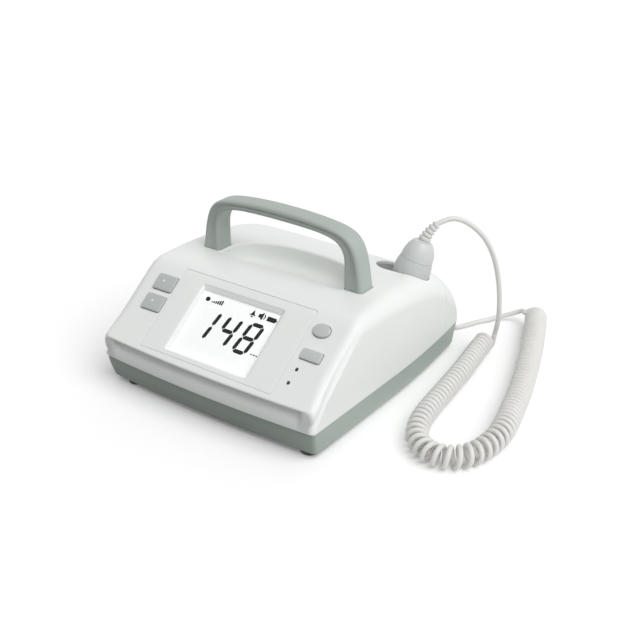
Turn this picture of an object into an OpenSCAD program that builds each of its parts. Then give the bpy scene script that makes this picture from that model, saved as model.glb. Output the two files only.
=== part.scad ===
// Desktop fetal doppler monitor with a handheld probe on a curly cord.
// Millimetres. X is the width, Y runs from the front to the back and Z is up.
// Sub-parts are drawn with Y measured from the front corners, and placed()
// moves them so that the origin is under the middle of the body.

/* [Body] */
// Width across the sides
body_w = 210; // [206:1:212]
// Distance from the front corners to the middle of the back
body_back = 238; // [236:1:240]
// Height of the carrying deck above the table
deck_h = 93.4; // [93:0.2:94]
// Tilt of the control panel
panel_tilt = 37.7; // [37:0.1:38.5]
// How far the front bows forward in the middle
front_bow = 4; // [2:0.5:5]
// How far the back bows out in the middle
rear_bow = 4; // [2:0.5:5]
// Wall thickness of the mouldings
wall = 2.5; // [2.2:0.1:2.8]

/* [Base tray] */
// Height of the joint between the white shell and the grey base
base_top = 25.2; // [24.6:0.2:25.6]
// Height of the rubber feet
foot_h = 3.5; // [3:0.1:3.8]

/* [Panel] */
// Width of the display bezel
bezel_w = 131; // [128:0.5:132]
// Length of the display bezel up the slope
bezel_l = 73.6; // [72:0.2:74]
// Width of the visible display
screen_w = 77.2; // [74:0.2:78]
// Length of the visible display up the slope
screen_l = 56.7; // [55:0.1:57]
// Travel of the push buttons
button_travel = 1.2; // [0.8:0.1:1.3]

/* [Handle] */
// Depth of the handle strap from front to back
handle_d = 17.6; // [16:0.2:18]
// Height of the top of the handle
handle_top = 143; // [141:0.5:145]

/* [Probe and cord] */
// Radius of the probe where it leaves its holder
probe_r = 15; // [14.5:0.1:15.2]
// Diameter of the cord
cord_d = 4.2; // [3.8:0.1:4.3]
// Radius of the curls, measured to the middle of the cord, before and after the bend of the loop
curl_r = [6.7, 7.6]; // [6.6:0.1:7.6]
// Distance from curl to curl before the bend, in it and after it
curl_pitch = [5.3, 7.2, 4.9]; // [4.9:0.1:7.4]

/* [Hidden] */
$fn = 48;

mid_y = (body_back - front_bow) / 2;
side_len = body_back - rear_bow;     // length of the body at its sides
side_taper = 0.00062;                // how fast the sides draw in
taper_from = 105;                    // where they begin to
front_corner = 3;                    // corner radii in plan
rear_corner = 20;
bow_reach = 60;                      // how far from each end the bow fades out
panel_front = 43.5;                  // height of the panel's front edge
panel_y = -1.2;                      // where distances up the panel start
panel_z = 42.6;
deck_mid = 115;                      // the highest point of the deck
rear_from = 135;                     // where the back starts to fall
parting_y = 193;                     // joint between upper housing and rear cover
seam = 0.25;                         // gap at a visible joint
far = 400;

// ---- outer form of the body ----

function soft_min(a, b, k) = -k * ln(exp(-a / k) + exp(-b / k));
function ramp(x) = let (t = min(1, max(0, x))) t * t * (3 - 2 * t);

function half_width(y) =
    let (w = body_w / 2 - side_taper * pow(max(0, y - taper_from), 2),
        f = max(0, front_corner - y),
        c = min(rear_corner, max(0, y - side_len + rear_corner)))
    w - front_corner + sqrt(front_corner * front_corner - f * f)
        - rear_corner + sqrt(rear_corner * rear_corner - c * c);

function rear_z(y) =
    let (u = min(1, (y - rear_from) / (side_len - rear_from)))
    y < rear_from ? deck_h + 0.3 * (rear_from - y)
        : base_top + (deck_h - base_top) * pow(1 - u * u, 0.63);

function top_z(y) =
    let (panel = panel_front + y * tan(panel_tilt),
        deck = deck_h - 0.0006 * pow(y - deck_mid, 2))
    soft_min(soft_min(panel, deck, 2), rear_z(y), 1.2);

function roll_r(y) = min(6 + 4 * ramp(y / 25) + 0.09 * max(0, y - 60),
    0.9 * (top_z(y) - base_top));

function bow(x, y) =
    let (k = 1 - pow(x / (body_w / 2), 2))
    k * (rear_bow * max(0, 1 - (side_len - y) / bow_reach)
        - front_bow * max(0, 1 - y / bow_reach));

// One cross-section at station y, drawn in by g: over the top from right to left, and back.
function section(y, g, low) =
    let (w = half_width(y) - g, t = max(top_z(y) - 1.25 * g, low + 1),
        r = min(max(roll_r(y) - g, 1.5), 0.9 * (t - low)),
        arc = [for (i = [0:6]) [w - r + r * cos(15 * i), t - r + r * sin(15 * i)]],
        flat = [for (i = [1:5]) [(w - r) * (1 - i / 3), t]],
        top = concat(arc, flat, [for (i = [6:-1:0]) [-arc[i][0], arc[i][1]]]))
    concat([for (p = top) [p[0], y + bow(p[0], y), p[1]]],
        [for (i = [len(top) - 1:-1:0]) [top[i][0], y + bow(top[i][0], y), low]]);

// Closed solid through a list of equal rings. The caps join each point to its mirror point.
module loft(rings) {
    n = len(rings[0]);
    m = len(rings);
    half = n / 2;
    walls = [for (k = [0:m - 2], i = [0:n - 1])
        let (j = (i + 1) % n, a = k * n, b = a + n) [a + i, a + j, b + j, b + i]];
    front = [for (i = [0:half - 2]) [i + 1, i, n - 1 - i, n - 2 - i]];
    back = [for (f = front) [for (i = [3:-1:0]) f[i] + (m - 1) * n]];
    polyhedron([for (r = rings) each r], concat(walls, front, back), convexity = 6);
}

stations = [0, 0.4, 1.2, 3, 7, 13, 20, 28, each [36:8:60], 63, 66, 69, 73, 78, 86, 96,
    each [108:12:180], 187, parting_y];
rear_stations = [parting_y, 200, 207, 213, each [216:3:231], 232.5, 233.4, 233.9, 234];

module form(ys, g = 0, low = base_top) loft([for (y = ys) section(y, g, low)]);

// Closed solid through equal flat rings, listed in the direction that their points turn round.
module stack(rings) {
    n = len(rings[0]);
    m = len(rings);
    walls = [for (k = [0:m - 2], i = [0:n - 1])
        let (j = (i + 1) % n, a = k * n, b = a + n) [a + i, b + i, b + j, a + j]];
    polyhedron([for (r = rings) each r], concat([[for (i = [0:n - 1]) i]], walls,
        [[for (i = [n - 1:-1:0]) (m - 1) * n + i]]), convexity = 6);
}

module placed() translate([0, -mid_y, 0]) children();

// Places a thing on the panel: x across, s up the slope and h out of it.
module on_panel(x = 0, s = 0, h = 0)
    translate([0, panel_y, panel_z]) rotate([panel_tilt, 0, 0]) translate([x, s, h]) children();

module plate(w, l, h, r = 1.5) linear_extrude(h) offset(r, $fn = 16)
    square([w - 2 * r, l - 2 * r], center = true);

// ---- places on the panel ----

bezel_s = 40.6;
screen_at = [-1.2, 37.7];
screen_h = -1.8;                     // face of the display window
square_x = -75.8;
square_s = [59.3, 40.4];
square_size = [19.2, 14];
round_at = [77.4, 63];
round_size = [14.8, 11.2];
oblong_at = [80.2, 41.8];
oblong_size = [17.8, 8.6];
led_at = [[74.6, 28.6], [73.9, 16.9]];
led_r = 1.4;
button_gap = 0.35;
button_up = 2;
skirt_h = -5;                        // underside of the buttons
switch_h = 3.6;
board_t = 1.6;
panel_board_h = skirt_h - button_travel - 0.4 - switch_h - board_t;

module oval(size, r_extra = 0) scale([size[0] / 2 + r_extra, size[1] / 2 + r_extra]) circle(1, $fn = 40);

module panel_cuts() {
    on_panel(0, bezel_s, -8) plate(bezel_w + 2 * seam, bezel_l + 2 * seam, 20, 2);
    for (s = square_s) on_panel(square_x, s, -8)
        plate(square_size[0] + 2 * button_gap, square_size[1] + 2 * button_gap, 20);
    on_panel(round_at[0], round_at[1], -8) linear_extrude(20) oval(round_size, button_gap);
    on_panel(oblong_at[0], oblong_at[1], -8)
        plate(oblong_size[0] + 2 * button_gap, oblong_size[1] + 2 * button_gap, 20);
    for (p = led_at) on_panel(p[0], p[1], -8) cylinder(r = led_r + 0.1, h = 20, $fn = 24);
}

// ---- carrying recess, probe well and grooves ----

recess_y = 96;
recess_r = [61, 45];
function recess_ring(z, k, g) =
    [for (i = [0:35]) let (a = 10 * i, c = cos(a), s = sin(a), q = s > 0 ? 2.6 : 6,
            m = pow(pow(abs(c), q) + pow(abs(s), q), -1 / q))
        [(recess_r[0] * k + g) * m * c,
            recess_y + 8 * (1 - k) + (s > 0 ? recess_r[1] * k + g : g + 0.5) * m * s, z]];

recess_levels = [[-16, 0.6], [-15, 0.74], [-12, 0.86], [-7, 0.95], [-1, 1], [6, 1.03]];
module recess(g = 0) stack([for (l = recess_levels) recess_ring(deck_h + l[0] - g, l[1], g)]);

// The probe leans back and to the right in its holder.
probe_at = [82.4, 167.2, 91.5];
probe_lean = 20.9;
probe_turn = 51.8;
well_shift = -13;                    // the holder is wider towards the middle
well_r = 17.2;
well_floor = -52.5;

module on_probe(d = 0) translate(probe_at) rotate([0, probe_lean, probe_turn]) translate([0, 0, d])
    children();

module obround(r, shift, h) {
    c = [shift * cos(probe_turn), shift * sin(-probe_turn), 0];
    cylinder(r = r, h = h);
    translate(c) cylinder(r = r, h = h);
    rotate([0, 0, -probe_turn]) translate([shift, -r, 0]) cube([-shift, 2 * r, h]);
}

// A finger groove under the front edge of the panel: depth and height of its profile.
groove = [[-2, 32], [0.2, 32.4], [2.2, 35], [4.2, 38.6], [4.9, 41.4], [4.4, 42.5], [-2, 42.5]];
groove_x = [-93.5, -92.4, -90, -60, -30, 0, 30, 60, 90, 92.4, 93.5];
module front_groove() stack([for (x = groove_x)
    let (y = bow(x, 0) - (abs(x) > 93 ? 2.6 : abs(x) > 91 ? 0.7 : 0))
    [for (p = groove) [x, y + p[0], p[1]]]]);

module side_groove(side) {
    pts = [[106.9, -1, 30, 3.2], [106.9, 10, 43.5, 3.4], [106.4, 36, 65.5, 2.8], [105.2, 62, 86.5, 0.9]];
    for (i = [0:2]) hull() for (p = [pts[i], pts[i + 1]])
        translate([side * p[0], p[1], p[2]]) sphere(r = p[3], $fn = 12);
}

// ---- mouldings ----

// Screw posts: the first four stand under the upper housing, the last two under the rear cover.
boss_at = [[-91, 26], [91, 26], [-92, 120], [92, 120], [-60, 222], [20, 222]];
boss_top = 21.5;
module posts(first, last) for (i = [first:last]) translate([boss_at[i][0], boss_at[i][1], boss_top + 0.1])
    difference() {
        cylinder(r = 3.4, h = 90, $fn = 20);
        translate([0, 0, -1]) cylinder(r = 1.55, h = 10, $fn = 16);
    }

foot_seat = 92.2;
leg_x = [62.4, 79.8];
leg_y = 96.4;
handle_screw_x = 71;

module leg_seats(z, h, g = 0) for (side = [-1, 1])
    translate([side * (leg_x[0] + leg_x[1]) / 2, leg_y + handle_d / 2, z + h / 2])
        cube([leg_x[1] - leg_x[0] + 2 * g, handle_d + 2 * g, h], center = true);

module upper_housing() color("whitesmoke") placed() resize([0, 0, 0]) difference() {
    union() {
        difference() {
            form(stations, 0, base_top + 0.1);
            form(concat([6.5, 9], [for (y = stations) if (y > 12) y], [197]), wall, base_top - 5);
        }
        intersection() {
            union() {
                recess(wall);
                leg_seats(foot_seat - 5, 5, 2);
                posts(0, 3);
            }
            form(stations, 0.3, boss_top);
        }
    }
    recess();
    panel_cuts();
    front_groove();
    for (side = [-1, 1]) side_groove(side);
    leg_seats(foot_seat, 9, 0.1);
    at_legs(80) cylinder(r = 1.8, h = 20, $fn = 16);
    on_probe(-30) obround(well_r, well_shift, 60);
}

module rear_cover() color("whitesmoke") placed() resize([0, 0, 0]) difference() {
    union() {
        difference() {
            translate([0, seam, 0]) form(rear_stations, 0.15, base_top + 0.1);
            form([192, 200, 207, 213, 219, 225, 229, 231], wall, base_top - 5);
        }
        intersection() {
            posts(4, 5);
            form(rear_stations, 0.5, boss_top);
        }
    }
    translate([0, side_len + rear_bow, 0]) rear_sockets(0.2);
    on_probe(-30) obround(well_r, well_shift, 60);
    translate([-far, side_len + rear_bow, 0]) cube([2 * far, 9, far]);
}

tray_low = [[foot_h, 1.6], [foot_h + 0.7, 0.7], [foot_h + 2.2, 0], [11, 0], [17, 0], [base_top, 0]];
tray_lean = [2.6, 5.2, 3];           // how far the foot of the base draws in: sides, front, back
tray_shadow = 1.8;                   // how far its front stands back under the shell

tray_stations = [0, 0.4, 1.2, 3, 60, 105, each [125:20:205], 214, 219, 224, 228, 231, 233, 233.8, 234];

function tray_ring(z, g) =
    let (k = (base_top - z) / (base_top - foot_h),
        side = [for (y = tray_stations) [half_width(y), y + bow(half_width(y), y)]],
        ends = [for (i = [1:5]) let (x = 77 * (1 - i / 3)) [x, x]],
        back = [for (e = ends) [e[0], side_len + bow(e[0], side_len)]],
        front = [for (i = [1:5]) let (x = -102 * (1 - i / 3)) [x, bow(x, 0)]],
        plan = concat(side, back, [for (i = [len(side) - 1:-1:0]) [-side[i][0], side[i][1]]], front),
        sx = (body_w / 2 - tray_lean[0] * k - g) / (body_w / 2),
        y0 = -front_bow + tray_shadow + tray_lean[1] * pow(max(0, k), 1.7) + g,
        sy = (body_back - tray_lean[2] * k - g - y0) / (body_back + front_bow))
    [for (p = plan) [p[0] * sx, y0 + (p[1] + front_bow) * sy, z]];

module tray_form(levels) stack([for (l = levels) tray_ring(l[0], l[1])]);

floor_z = foot_h + wall;
door_at = [-45, 165];
door_size = [74, 54];
speaker_at = [62, 92];
board_at = [-28, 78];
board_size = [116, 100];
board_z = 28;

module at_each(points) for (p = points) translate([p[0], p[1], 0]) children();

module base_tray() color("slategray") placed() resize([0, 0, 0]) difference() {
    union() {
        difference() {
            tray_form(tray_low);
            tray_form([[floor_z, wall + 1], [floor_z + 1, wall], [base_top + 1, wall]]);
        }
        at_each(boss_at) translate([0, 0, floor_z - 0.5])
            cylinder(r = 4, h = boss_top - floor_z + 0.5, $fn = 20);
        for (x = [-1, 1], y = [-1, 1])
            translate([board_at[0] + x * 52, board_at[1] + y * 44, floor_z - 0.5])
                cylinder(r = 3, h = board_z - floor_z + 0.5, $fn = 16);
    }
    at_each(boss_at) translate([0, 0, foot_h - 1]) {
        cylinder(r = 1.7, h = 30, $fn = 16);
        cylinder(r = 3.2, h = 5, $fn = 16);
    }
    translate([door_at[0], door_at[1], foot_h - 1]) plate(door_size[0] + 0.6, door_size[1] + 0.6, 10, 3);
    for (a = [-2:2], b = [-1:1]) translate([speaker_at[0] + 5 * a, speaker_at[1] + 14 * b, foot_h])
        cube([2, 11, 10], center = true);
    translate([0, side_len + rear_bow, 0]) rear_sockets(0.2);
}

module battery_door() color("slategray") placed() translate([door_at[0], door_at[1], foot_h]) {
    plate(door_size[0], door_size[1], wall, 3);
    translate([0, 0, wall - 0.01]) plate(door_size[0] - 6, door_size[1] - 6, 1, 2);
}

foot_at = [[-85, 14.5], [91, 14.5], [-84, 214], [84, 214]];
module rubber_feet() color("dimgray") placed() at_each(foot_at) {
    cylinder(r = 7, h = 1);
    translate([0, 0, 1]) cylinder(r1 = 7, r2 = 7.3, h = foot_h - 1);
}

module screw(len, head_r, head_h, thread_r) difference() {
    union() {
        cylinder(r = head_r, h = head_h);
        cylinder(r = thread_r, h = len);
    }
    translate([-head_r / 2, -0.35, -0.1]) cube([head_r, 0.7, head_h * 0.5]);
    translate([-0.35, -head_r / 2, -0.1]) cube([0.7, head_r, head_h * 0.5]);
}

module housing_screws() color("silver") placed() at_each(boss_at)
    translate([0, 0, foot_h + 1.6]) screw(24, 2.9, 2.2, 1.5);

// ---- handle ----

// Outer and inner points of the right half of the strap, from the foot to the middle.
strap = [[[79.8, 92.2], [62.4, 92.2]], [[78.6, 100], [62.4, 99]], [[77.4, 108], [62.4, 107]],
    [[75.8, 116], [62.3, 114.5]], [[73.6, 123.5], [61.4, 120.5]], [[70.2, 130], [58.4, 126]],
    [[65.6, 134.6], [54.2, 129.4]], [[59.5, 137.6], [49, 131.3]], [[50, 139.9], [42, 132.6]],
    [[36, 141.6], [32, 133.4]], [[18, 142.7], [16, 133.9]], [[0, 143], [0, 134]]];

// A cross-section of the strap: a rectangle with rounded edges, thicker at the foot.
function strap_ring(o, i, side) =
    let (t = norm(o - i), e = (o - i) / t, r = 3.2, q = [[1, 1], [1, 0], [0, 0], [0, 1]])
    [for (k = [0:3], j = [0:3])
        let (a = 90 * k + 30 * j, u = q[k][0] == 1 ? t - r : r,
            v = q[k][1] == 1 ? handle_d - r : r, p = i + e * (u + r * sin(a)))
        [side * p[0], leg_y + v + r * cos(a), p[1] + handle_top - 143]];

module at_legs(z) for (side = [-1, 1]) translate([side * handle_screw_x, leg_y + handle_d / 2, z]) children();

module handle() color("darkseagreen") placed() difference() {
    translate([0, 0, 0.05]) stack(concat([for (p = strap) strap_ring(p[0], p[1], 1)],
        [for (k = [len(strap) - 2:-1:0]) strap_ring(strap[k][0], strap[k][1], -1)]));
    at_legs(foot_seat - 1) cylinder(r = 1.65, h = 11, $fn = 16);
}

module handle_screws() color("silver") placed() at_legs(84.5) screw(16, 3, 2.6, 1.6);

// ---- display ----

module on_screen(h) on_panel(screen_at[0], screen_at[1], h) children();

// The bezel follows the crown of the shell, and its opening slopes down to the window.
module display_bezel() color("white") placed() resize([0, 0, 0]) difference() {
    intersection() {
        union() {
            on_panel(0, bezel_s, -2.6) plate(bezel_w, bezel_l, 8, 2);
            on_panel(0, bezel_s, -4.6) plate(bezel_w - 3, bezel_l - 3, 2.5, 2);
        }
        form([for (y = stations) if (y < 90) y], 0.12, base_top);
    }
    on_screen(-6) plate(screen_w, screen_l, 10, 1);
    on_screen(-6) plate(screen_w + 6.4, screen_l + 6.4, 6 + lcd_h + 0.05, 1);
    hull() {
        on_screen(screen_h) plate(screen_w, screen_l, 0.01, 1);
        on_panel(screen_at[0] + 0.2, screen_at[1] + 0.9, 0.4) plate(screen_w + 3.8, screen_l + 5.2, 6, 2);
    }
}

window_t = 0.8;
module display_window() color("lightcyan", 0.4) placed()
    on_screen(screen_h - window_t) plate(screen_w - 0.2, screen_l - 0.2, window_t, 0.9);

lcd_h = screen_h - window_t - 0.4;   // face of the display glass
lcd_t = 2.2;
module lcd_panel() color("white") placed()
    on_screen(lcd_h - lcd_t) plate(screen_w + 6, screen_l + 6, lcd_t, 1);

// Seven-segment figure: the segments are top, upper left, upper right, middle, lower left,
// lower right and bottom.
digit_w = 14.5;
digit_h = 28.2;
segment_t = 3.3;
digit_slant = 9.6;
function figure(d) = d == 1 ? [2, 5] : d == 4 ? [1, 2, 3, 5] : [0, 1, 2, 3, 4, 5, 6];

module segment(len) polygon([[-len / 2, 0], [-len / 2 + segment_t / 2, segment_t / 2],
    [len / 2 - segment_t / 2, segment_t / 2], [len / 2, 0], [len / 2 - segment_t / 2, -segment_t / 2],
    [-len / 2 + segment_t / 2, -segment_t / 2]]);

module digit(d) {
    across = digit_w - segment_t;
    half = (digit_h - segment_t) / 2;
    spots = [[0, half, 0], [-across / 2, half / 2, 90], [across / 2, half / 2, 90], [0, 0, 0],
        [-across / 2, -half / 2, 90], [across / 2, -half / 2, 90], [0, -half, 0]];
    multmatrix([[1, tan(digit_slant), 0, 0], [0, 1, 0, 0], [0, 0, 1, 0], [0, 0, 0, 1]])
        for (k = figure(d)) translate([spots[k][0], spots[k][1]]) rotate(spots[k][2])
            segment(spots[k][2] == 0 ? across - 0.8 : half - 0.8);
}

digit_at = [[-21.3, 1], [-0.2, 4], [20.4, 8]];
digit_s = 39.4;
module lcd_digits() color("black") placed() for (p = digit_at)
    on_panel(p[0], digit_s, lcd_h) linear_extrude(0.3) digit(p[1]);

module lcd_backlight() color("gainsboro") placed()
    on_screen(lcd_h - lcd_t - 3) plate(screen_w + 7, screen_l + 7, 2.9, 1);

// ---- buttons ----

module button(skirt) {
    translate([0, 0, -3.4]) children();
    translate([0, 0, skirt_h]) plate(skirt[0] + 2.4, skirt[1] + 2.4, 1.6, 1.5);
}

module square_button(k) placed() on_panel(square_x, square_s[k]) difference() {
    button(square_size) plate(square_size[0], square_size[1], 3.4 + button_up);
    translate([-1.6, 1.2, button_up - 0.8]) cylinder(r = 1.15, h = 2, $fn = 24);
}

module button_dot(k) placed() on_panel(square_x, square_s[k])
    translate([-1.6, 1.2, button_up - 0.8]) cylinder(r = 1.15, h = 0.85, $fn = 24);

module upper_square_button() color("silver") square_button(0);
module lower_square_button() color("silver") square_button(1);
module upper_button_dot() color("white") button_dot(0);
module lower_button_dot() color("white") button_dot(1);

module round_button() color("lightgray") placed() on_panel(round_at[0], round_at[1])
    button(round_size) linear_extrude(3.4 + button_up) oval(round_size);

module oblong_button() color("lightgray") placed() on_panel(oblong_at[0], oblong_at[1])
    button(oblong_size) plate(oblong_size[0], oblong_size[1], 3.4 + button_up);

switch_at = [[square_x, square_s[0]], [square_x, square_s[1]], round_at, oblong_at];

module tactile_switches() color("dimgray") placed() for (p = switch_at)
    on_panel(p[0], p[1], panel_board_h + board_t) {
        plate(6, 6, switch_h - 0.5, 0.4);
        translate([0, 0, switch_h - 0.5]) cylinder(r = 1.7, h = 0.5);
    }

module indicator_leds() color("darkslategray") placed() for (p = led_at)
    on_panel(p[0], p[1], panel_board_h + board_t) cylinder(r = led_r, h = -panel_board_h - board_t - 0.3);

module panel_board() color("green") placed()
    on_panel(0, 42, panel_board_h) plate(168, 62, board_t, 2);

// ---- inside ----

module main_board() color("green") placed()
    translate([board_at[0], board_at[1], board_z]) plate(board_size[0], board_size[1], board_t, 2);

module board_parts() color("dimgray") placed()
    translate([board_at[0], board_at[1], board_z + board_t]) {
        translate([-8, 0, 0]) plate(14, 14, 1.4, 0.5);
        translate([24, 18, 0]) plate(10, 6, 1.6, 0.5);
        translate([22, -20, 0]) plate(22, 14, 6, 1);
        for (x = [-44:9:-17]) translate([x, 36, 0]) cylinder(r = 3, h = 8);
        for (y = [-30:12:-6]) translate([-36, y, 0]) plate(8, 5, 1.5, 0.5);
    }

module speaker() color("gray") placed() translate([speaker_at[0], speaker_at[1], floor_z])
    rotate_extrude() polygon([[0, 3], [8, 3], [22, 0.8], [22, 0], [25, 0], [25, 2.5], [16, 8], [15, 9],
        [15, 17], [0, 17]]);

module battery_pack() color("royalblue") placed() for (y = [-1, 1])
    translate([door_at[0] - 30, door_at[1] + 10.5 * y, floor_z + 10.6])
        rotate([0, 90, 0]) cylinder(r = 9.2, h = 60);

// ---- probe and its holder ----

// The holder's wall ends just under the skin.
module probe_holder() color("whitesmoke") placed() resize([0, 0, 0]) intersection() {
    on_probe(well_floor - 2) difference() {
        obround(well_r + 2, well_shift, 60);
        translate([0, 0, 2]) obround(well_r, well_shift, 60);
    }
    form([for (y = [110:12:194]) y], wall + 0.15, foot_h);
}

seam_d = 7;
neck_r = 13.5;
cap_top = 22.5;

module probe_grip() color("gainsboro") placed() on_probe() rotate_extrude()
    polygon([[0, -42], [14.6, -42], [15.4, -34], [15.3, -14], [probe_r, 0], [neck_r, seam_d - 0.6],
        [neck_r - 0.5, seam_d], [0, seam_d]]);

module probe_cap() color("lightgray") placed() on_probe() rotate_extrude()
    polygon([[0, seam_d], [neck_r - 0.2, seam_d], [neck_r - 0.3, 8.6], [12.8, 12], [11.8, 15.4],
        [10.6, 18.2], [9.1, 20.6], [8.4, 21.6], [7.4, cap_top], [0, cap_top]]);

module probe_head() color("white") placed() on_probe() rotate_extrude()
    polygon([[0, well_floor + 0.3], [9, well_floor + 0.3], [13.6, well_floor + 1], [15.6, well_floor + 2.6],
        [16, well_floor + 4.6], [15.6, -43.4], [14.6, -42], [0, -42]]);

boot_len = 17;
boot_base_r = 5.3;
boot_end_r = 3.3;
boot_ribs = 5;

module probe_boot() color("white") placed() on_probe(cap_top) rotate_extrude()
    polygon(concat([[0, 0], [boot_base_r, 0]],
        [for (k = [0:boot_ribs - 1])
            let (d = boot_len * (k + 0.1) / boot_ribs, r = boot_base_r
                    + (boot_end_r - boot_base_r) * (k + 0.5) / boot_ribs)
            each [[r - 1.1, d + 0.5], [r - 1.1, d + 1.1], [r, d + 1.4], [r, d + 3.2]]],
        [[boot_end_r - 0.4, boot_len], [0, boot_len]]));

// ---- rear sockets and plug ----

socket_x = 46;
inlet_x = 8;
socket_z = 23;
socket_r = 7.5;
inlet_r = 4.6;

module rear_sockets(g) {
    translate([socket_x, -12, socket_z]) rotate([-90, 0, 0]) cylinder(r = socket_r + g, h = 20);
    translate([inlet_x, -12, socket_z]) rotate([-90, 0, 0]) cylinder(r = inlet_r + g, h = 20);
}

module at_rear(x, y) translate([x, side_len + bow(x, side_len) + y, socket_z]) rotate([-90, 0, 0]) children();

module probe_socket() color("dimgray") placed() at_rear(socket_x, -11) difference() {
    cylinder(r = socket_r, h = 10.6);
    translate([0, 0, 3]) cylinder(r = 5.6, h = 20);
}

module dc_inlet() color("black") placed() at_rear(inlet_x, -11) {
    difference() {
        cylinder(r = inlet_r, h = 10.8);
        translate([0, 0, 2]) cylinder(r = 2.9, h = 20);
    }
    translate([0, 0, 1]) cylinder(r = 1, h = 8.6);
}

module probe_plug() color("white") placed() at_rear(socket_x, -7.9) {
    cylinder(r = 5.5, h = 8);
    translate([0, 0, 8]) cylinder(r = 7, h = 14);
}

plug_end = 14.1;
plug_boot_len = 10;
module plug_boot() color("white") placed() at_rear(socket_x, plug_end) difference() {
    cylinder(r1 = 4.6, r2 = 3, h = plug_boot_len);
    for (d = [2.2:2.2:7]) translate([0, 0, d]) rotate_extrude() translate([5.4 - 0.15 * d, 0])
        circle(r = 1.4);
}

// ---- cord ----

// Smooth curve through hand-chosen points.
function spline(p, steps) =
    let (n = len(p))
    concat([for (i = [0:n - 2], k = [0:steps - 1])
        let (a = p[max(0, i - 1)], b = p[i], c = p[i + 1], d = p[min(n - 1, i + 2)], t = k / steps)
        0.5 * (2 * b + (c - a) * t + (2 * a - 5 * b + 4 * c - d) * t * t
            + (3 * b - a - 3 * c + d) * t * t * t)], [p[n - 1]]);
function unit(v) = v / norm(v);
function dist(p, i) = i == 0 ? 0 : norm(p[i] - p[i - 1]);
function lengths(p) = [for (i = 0, s = 0; i < len(p); i = i + 1, s = s + (i < len(p) ? dist(p, i) : 0)) s];
function direction(p, i) = unit(p[min(len(p) - 1, i + 1)] - p[max(0, i - 1)]);

// The curly part lies on the table in a long loop beside the body.
coil_route = [[120, 230], [124, 205], [129.5, 175], [134.5, 139], [139.5, 102], [145, 80], [155, 62],
    [171, 53], [187, 56], [198, 70], [201.5, 92], [199.5, 112], [194, 134], [184.5, 168], [172, 205],
    [157.5, 244], [144, 276], [134, 298]];
coil_curve = [for (p = spline(coil_route, 10)) [p[0], p[1], 0]];
coil_lengths = lengths(coil_curve);
coil_total = coil_lengths[len(coil_lengths) - 1];
bend_from = 122;                     // where the curls begin to open, along the loop
bend_to = 286;                       // where they have closed again
bend_ease = 40;
rings_per_curl = 7;

function curl_gap(s) =
    let (into = ramp((s - bend_from) / bend_ease), out = ramp((s - bend_to + bend_ease) / bend_ease))
    curl_pitch[0] + (curl_pitch[1] - curl_pitch[0]) * into + (curl_pitch[2] - curl_pitch[1]) * out;
function curl_size(s) = curl_r[0] + (curl_r[1] - curl_r[0]) * ramp((s - bend_from) / (bend_to - bend_from));
function find(s, i = 0) = i >= len(coil_lengths) - 2 || coil_lengths[i + 1] >= s ? i : find(s, i + 1);
function coil_point(s, turn) =
    let (i = find(s), a = coil_curve[i], b = coil_curve[i + 1], r = curl_size(s),
        t = (s - coil_lengths[i]) / (coil_lengths[i + 1] - coil_lengths[i]),
        d = unit(direction(coil_curve, i) * (1 - t) + direction(coil_curve, i + 1) * t),
        side = unit(cross(d, [0, 0, 1])))
    a + (b - a) * t + r * cos(turn) * -side + [0, 0, r * sin(turn) + r + cord_d / 2 + 0.3];

// Distances along the loop, one for each step of the winding.
function winding_steps(step) =
    [for (s = 0; s < coil_total; s = s + curl_gap(s) * step) s];
curl_s = winding_steps(1 / rings_per_curl);
curl_steps = floor((len(curl_s) - 1) / rings_per_curl) * rings_per_curl - round(rings_per_curl / 4);
curls = [for (k = [0:curl_steps]) coil_point(curl_s[k], -360 * k / rings_per_curl)];
last_curl = len(curls) - 1;
coil_in = unit(curls[1] - curls[0]);
coil_out = unit(curls[last_curl] - curls[last_curl - 1]);
coil_first = curls[0] - coil_in * cord_d;
coil_last = curls[last_curl] + coil_out * cord_d;
curly_path = concat([coil_first], curls, [coil_last]);

// Rings round a path, carried along it without twist.
function frames(p, i = 0, side = undef) =
    i >= len(p) ? [] :
    let (d = direction(p, i), s0 = is_undef(side) ? cross(d, abs(d[2]) > 0.9 ? [0, 1, 0] : [0, 0, 1]) : side,
        s = unit(s0 - d * (s0 * d)))
    concat([[s, cross(d, s)]], frames(p, i + 1, s));

module tube(p, sides) {
    f = frames(p);
    n = len(p);
    rings = [for (i = [0:n - 1], k = [0:sides - 1])
        p[i] + cord_d / 2 * (cos(360 * k / sides) * f[i][0] + sin(360 * k / sides) * f[i][1])];
    walls = [for (i = [0:n - 2], k = [0:sides - 1])
        let (j = (k + 1) % sides, a = i * sides, b = a + sides)
        each [[a + k, b + k, b + j], [a + k, b + j, a + j]]];
    polyhedron(rings, concat([[for (k = [0:sides - 1]) k]], walls,
        [[for (k = [sides - 1:-1:0]) (n - 1) * sides + k]]), convexity = 10);
}

module curly_cord() color("whitesmoke") placed() tube(curly_path, 5);

// The straight ends keep each lead square to what it meets.
function straight(p, d) = [for (k = [0:2]) p + 2 * k * d];

boot_tip = cap_top + boot_len + 0.15;
lean_dir = [sin(probe_lean) * cos(probe_turn), sin(probe_lean) * sin(probe_turn), cos(probe_lean)];
lead_start = probe_at + boot_tip * lean_dir;
arch_points = [[96.5, 184.5, 132], [103, 192, 131.5], [109.5, 199, 127], [116, 206, 119.5],
    [121.5, 212.5, 110], [126, 217.5, 98], [129, 221.5, 84], [131, 224.5, 68], [132, 226.5, 51],
    [131.5, 228, 34]];
arch_path = spline(concat(straight(lead_start, lean_dir), arch_points,
    straight(coil_first - 4 * coil_in, coil_in)), 2);
module probe_lead() color("whitesmoke") placed() tube(arch_path, 8);

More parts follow.
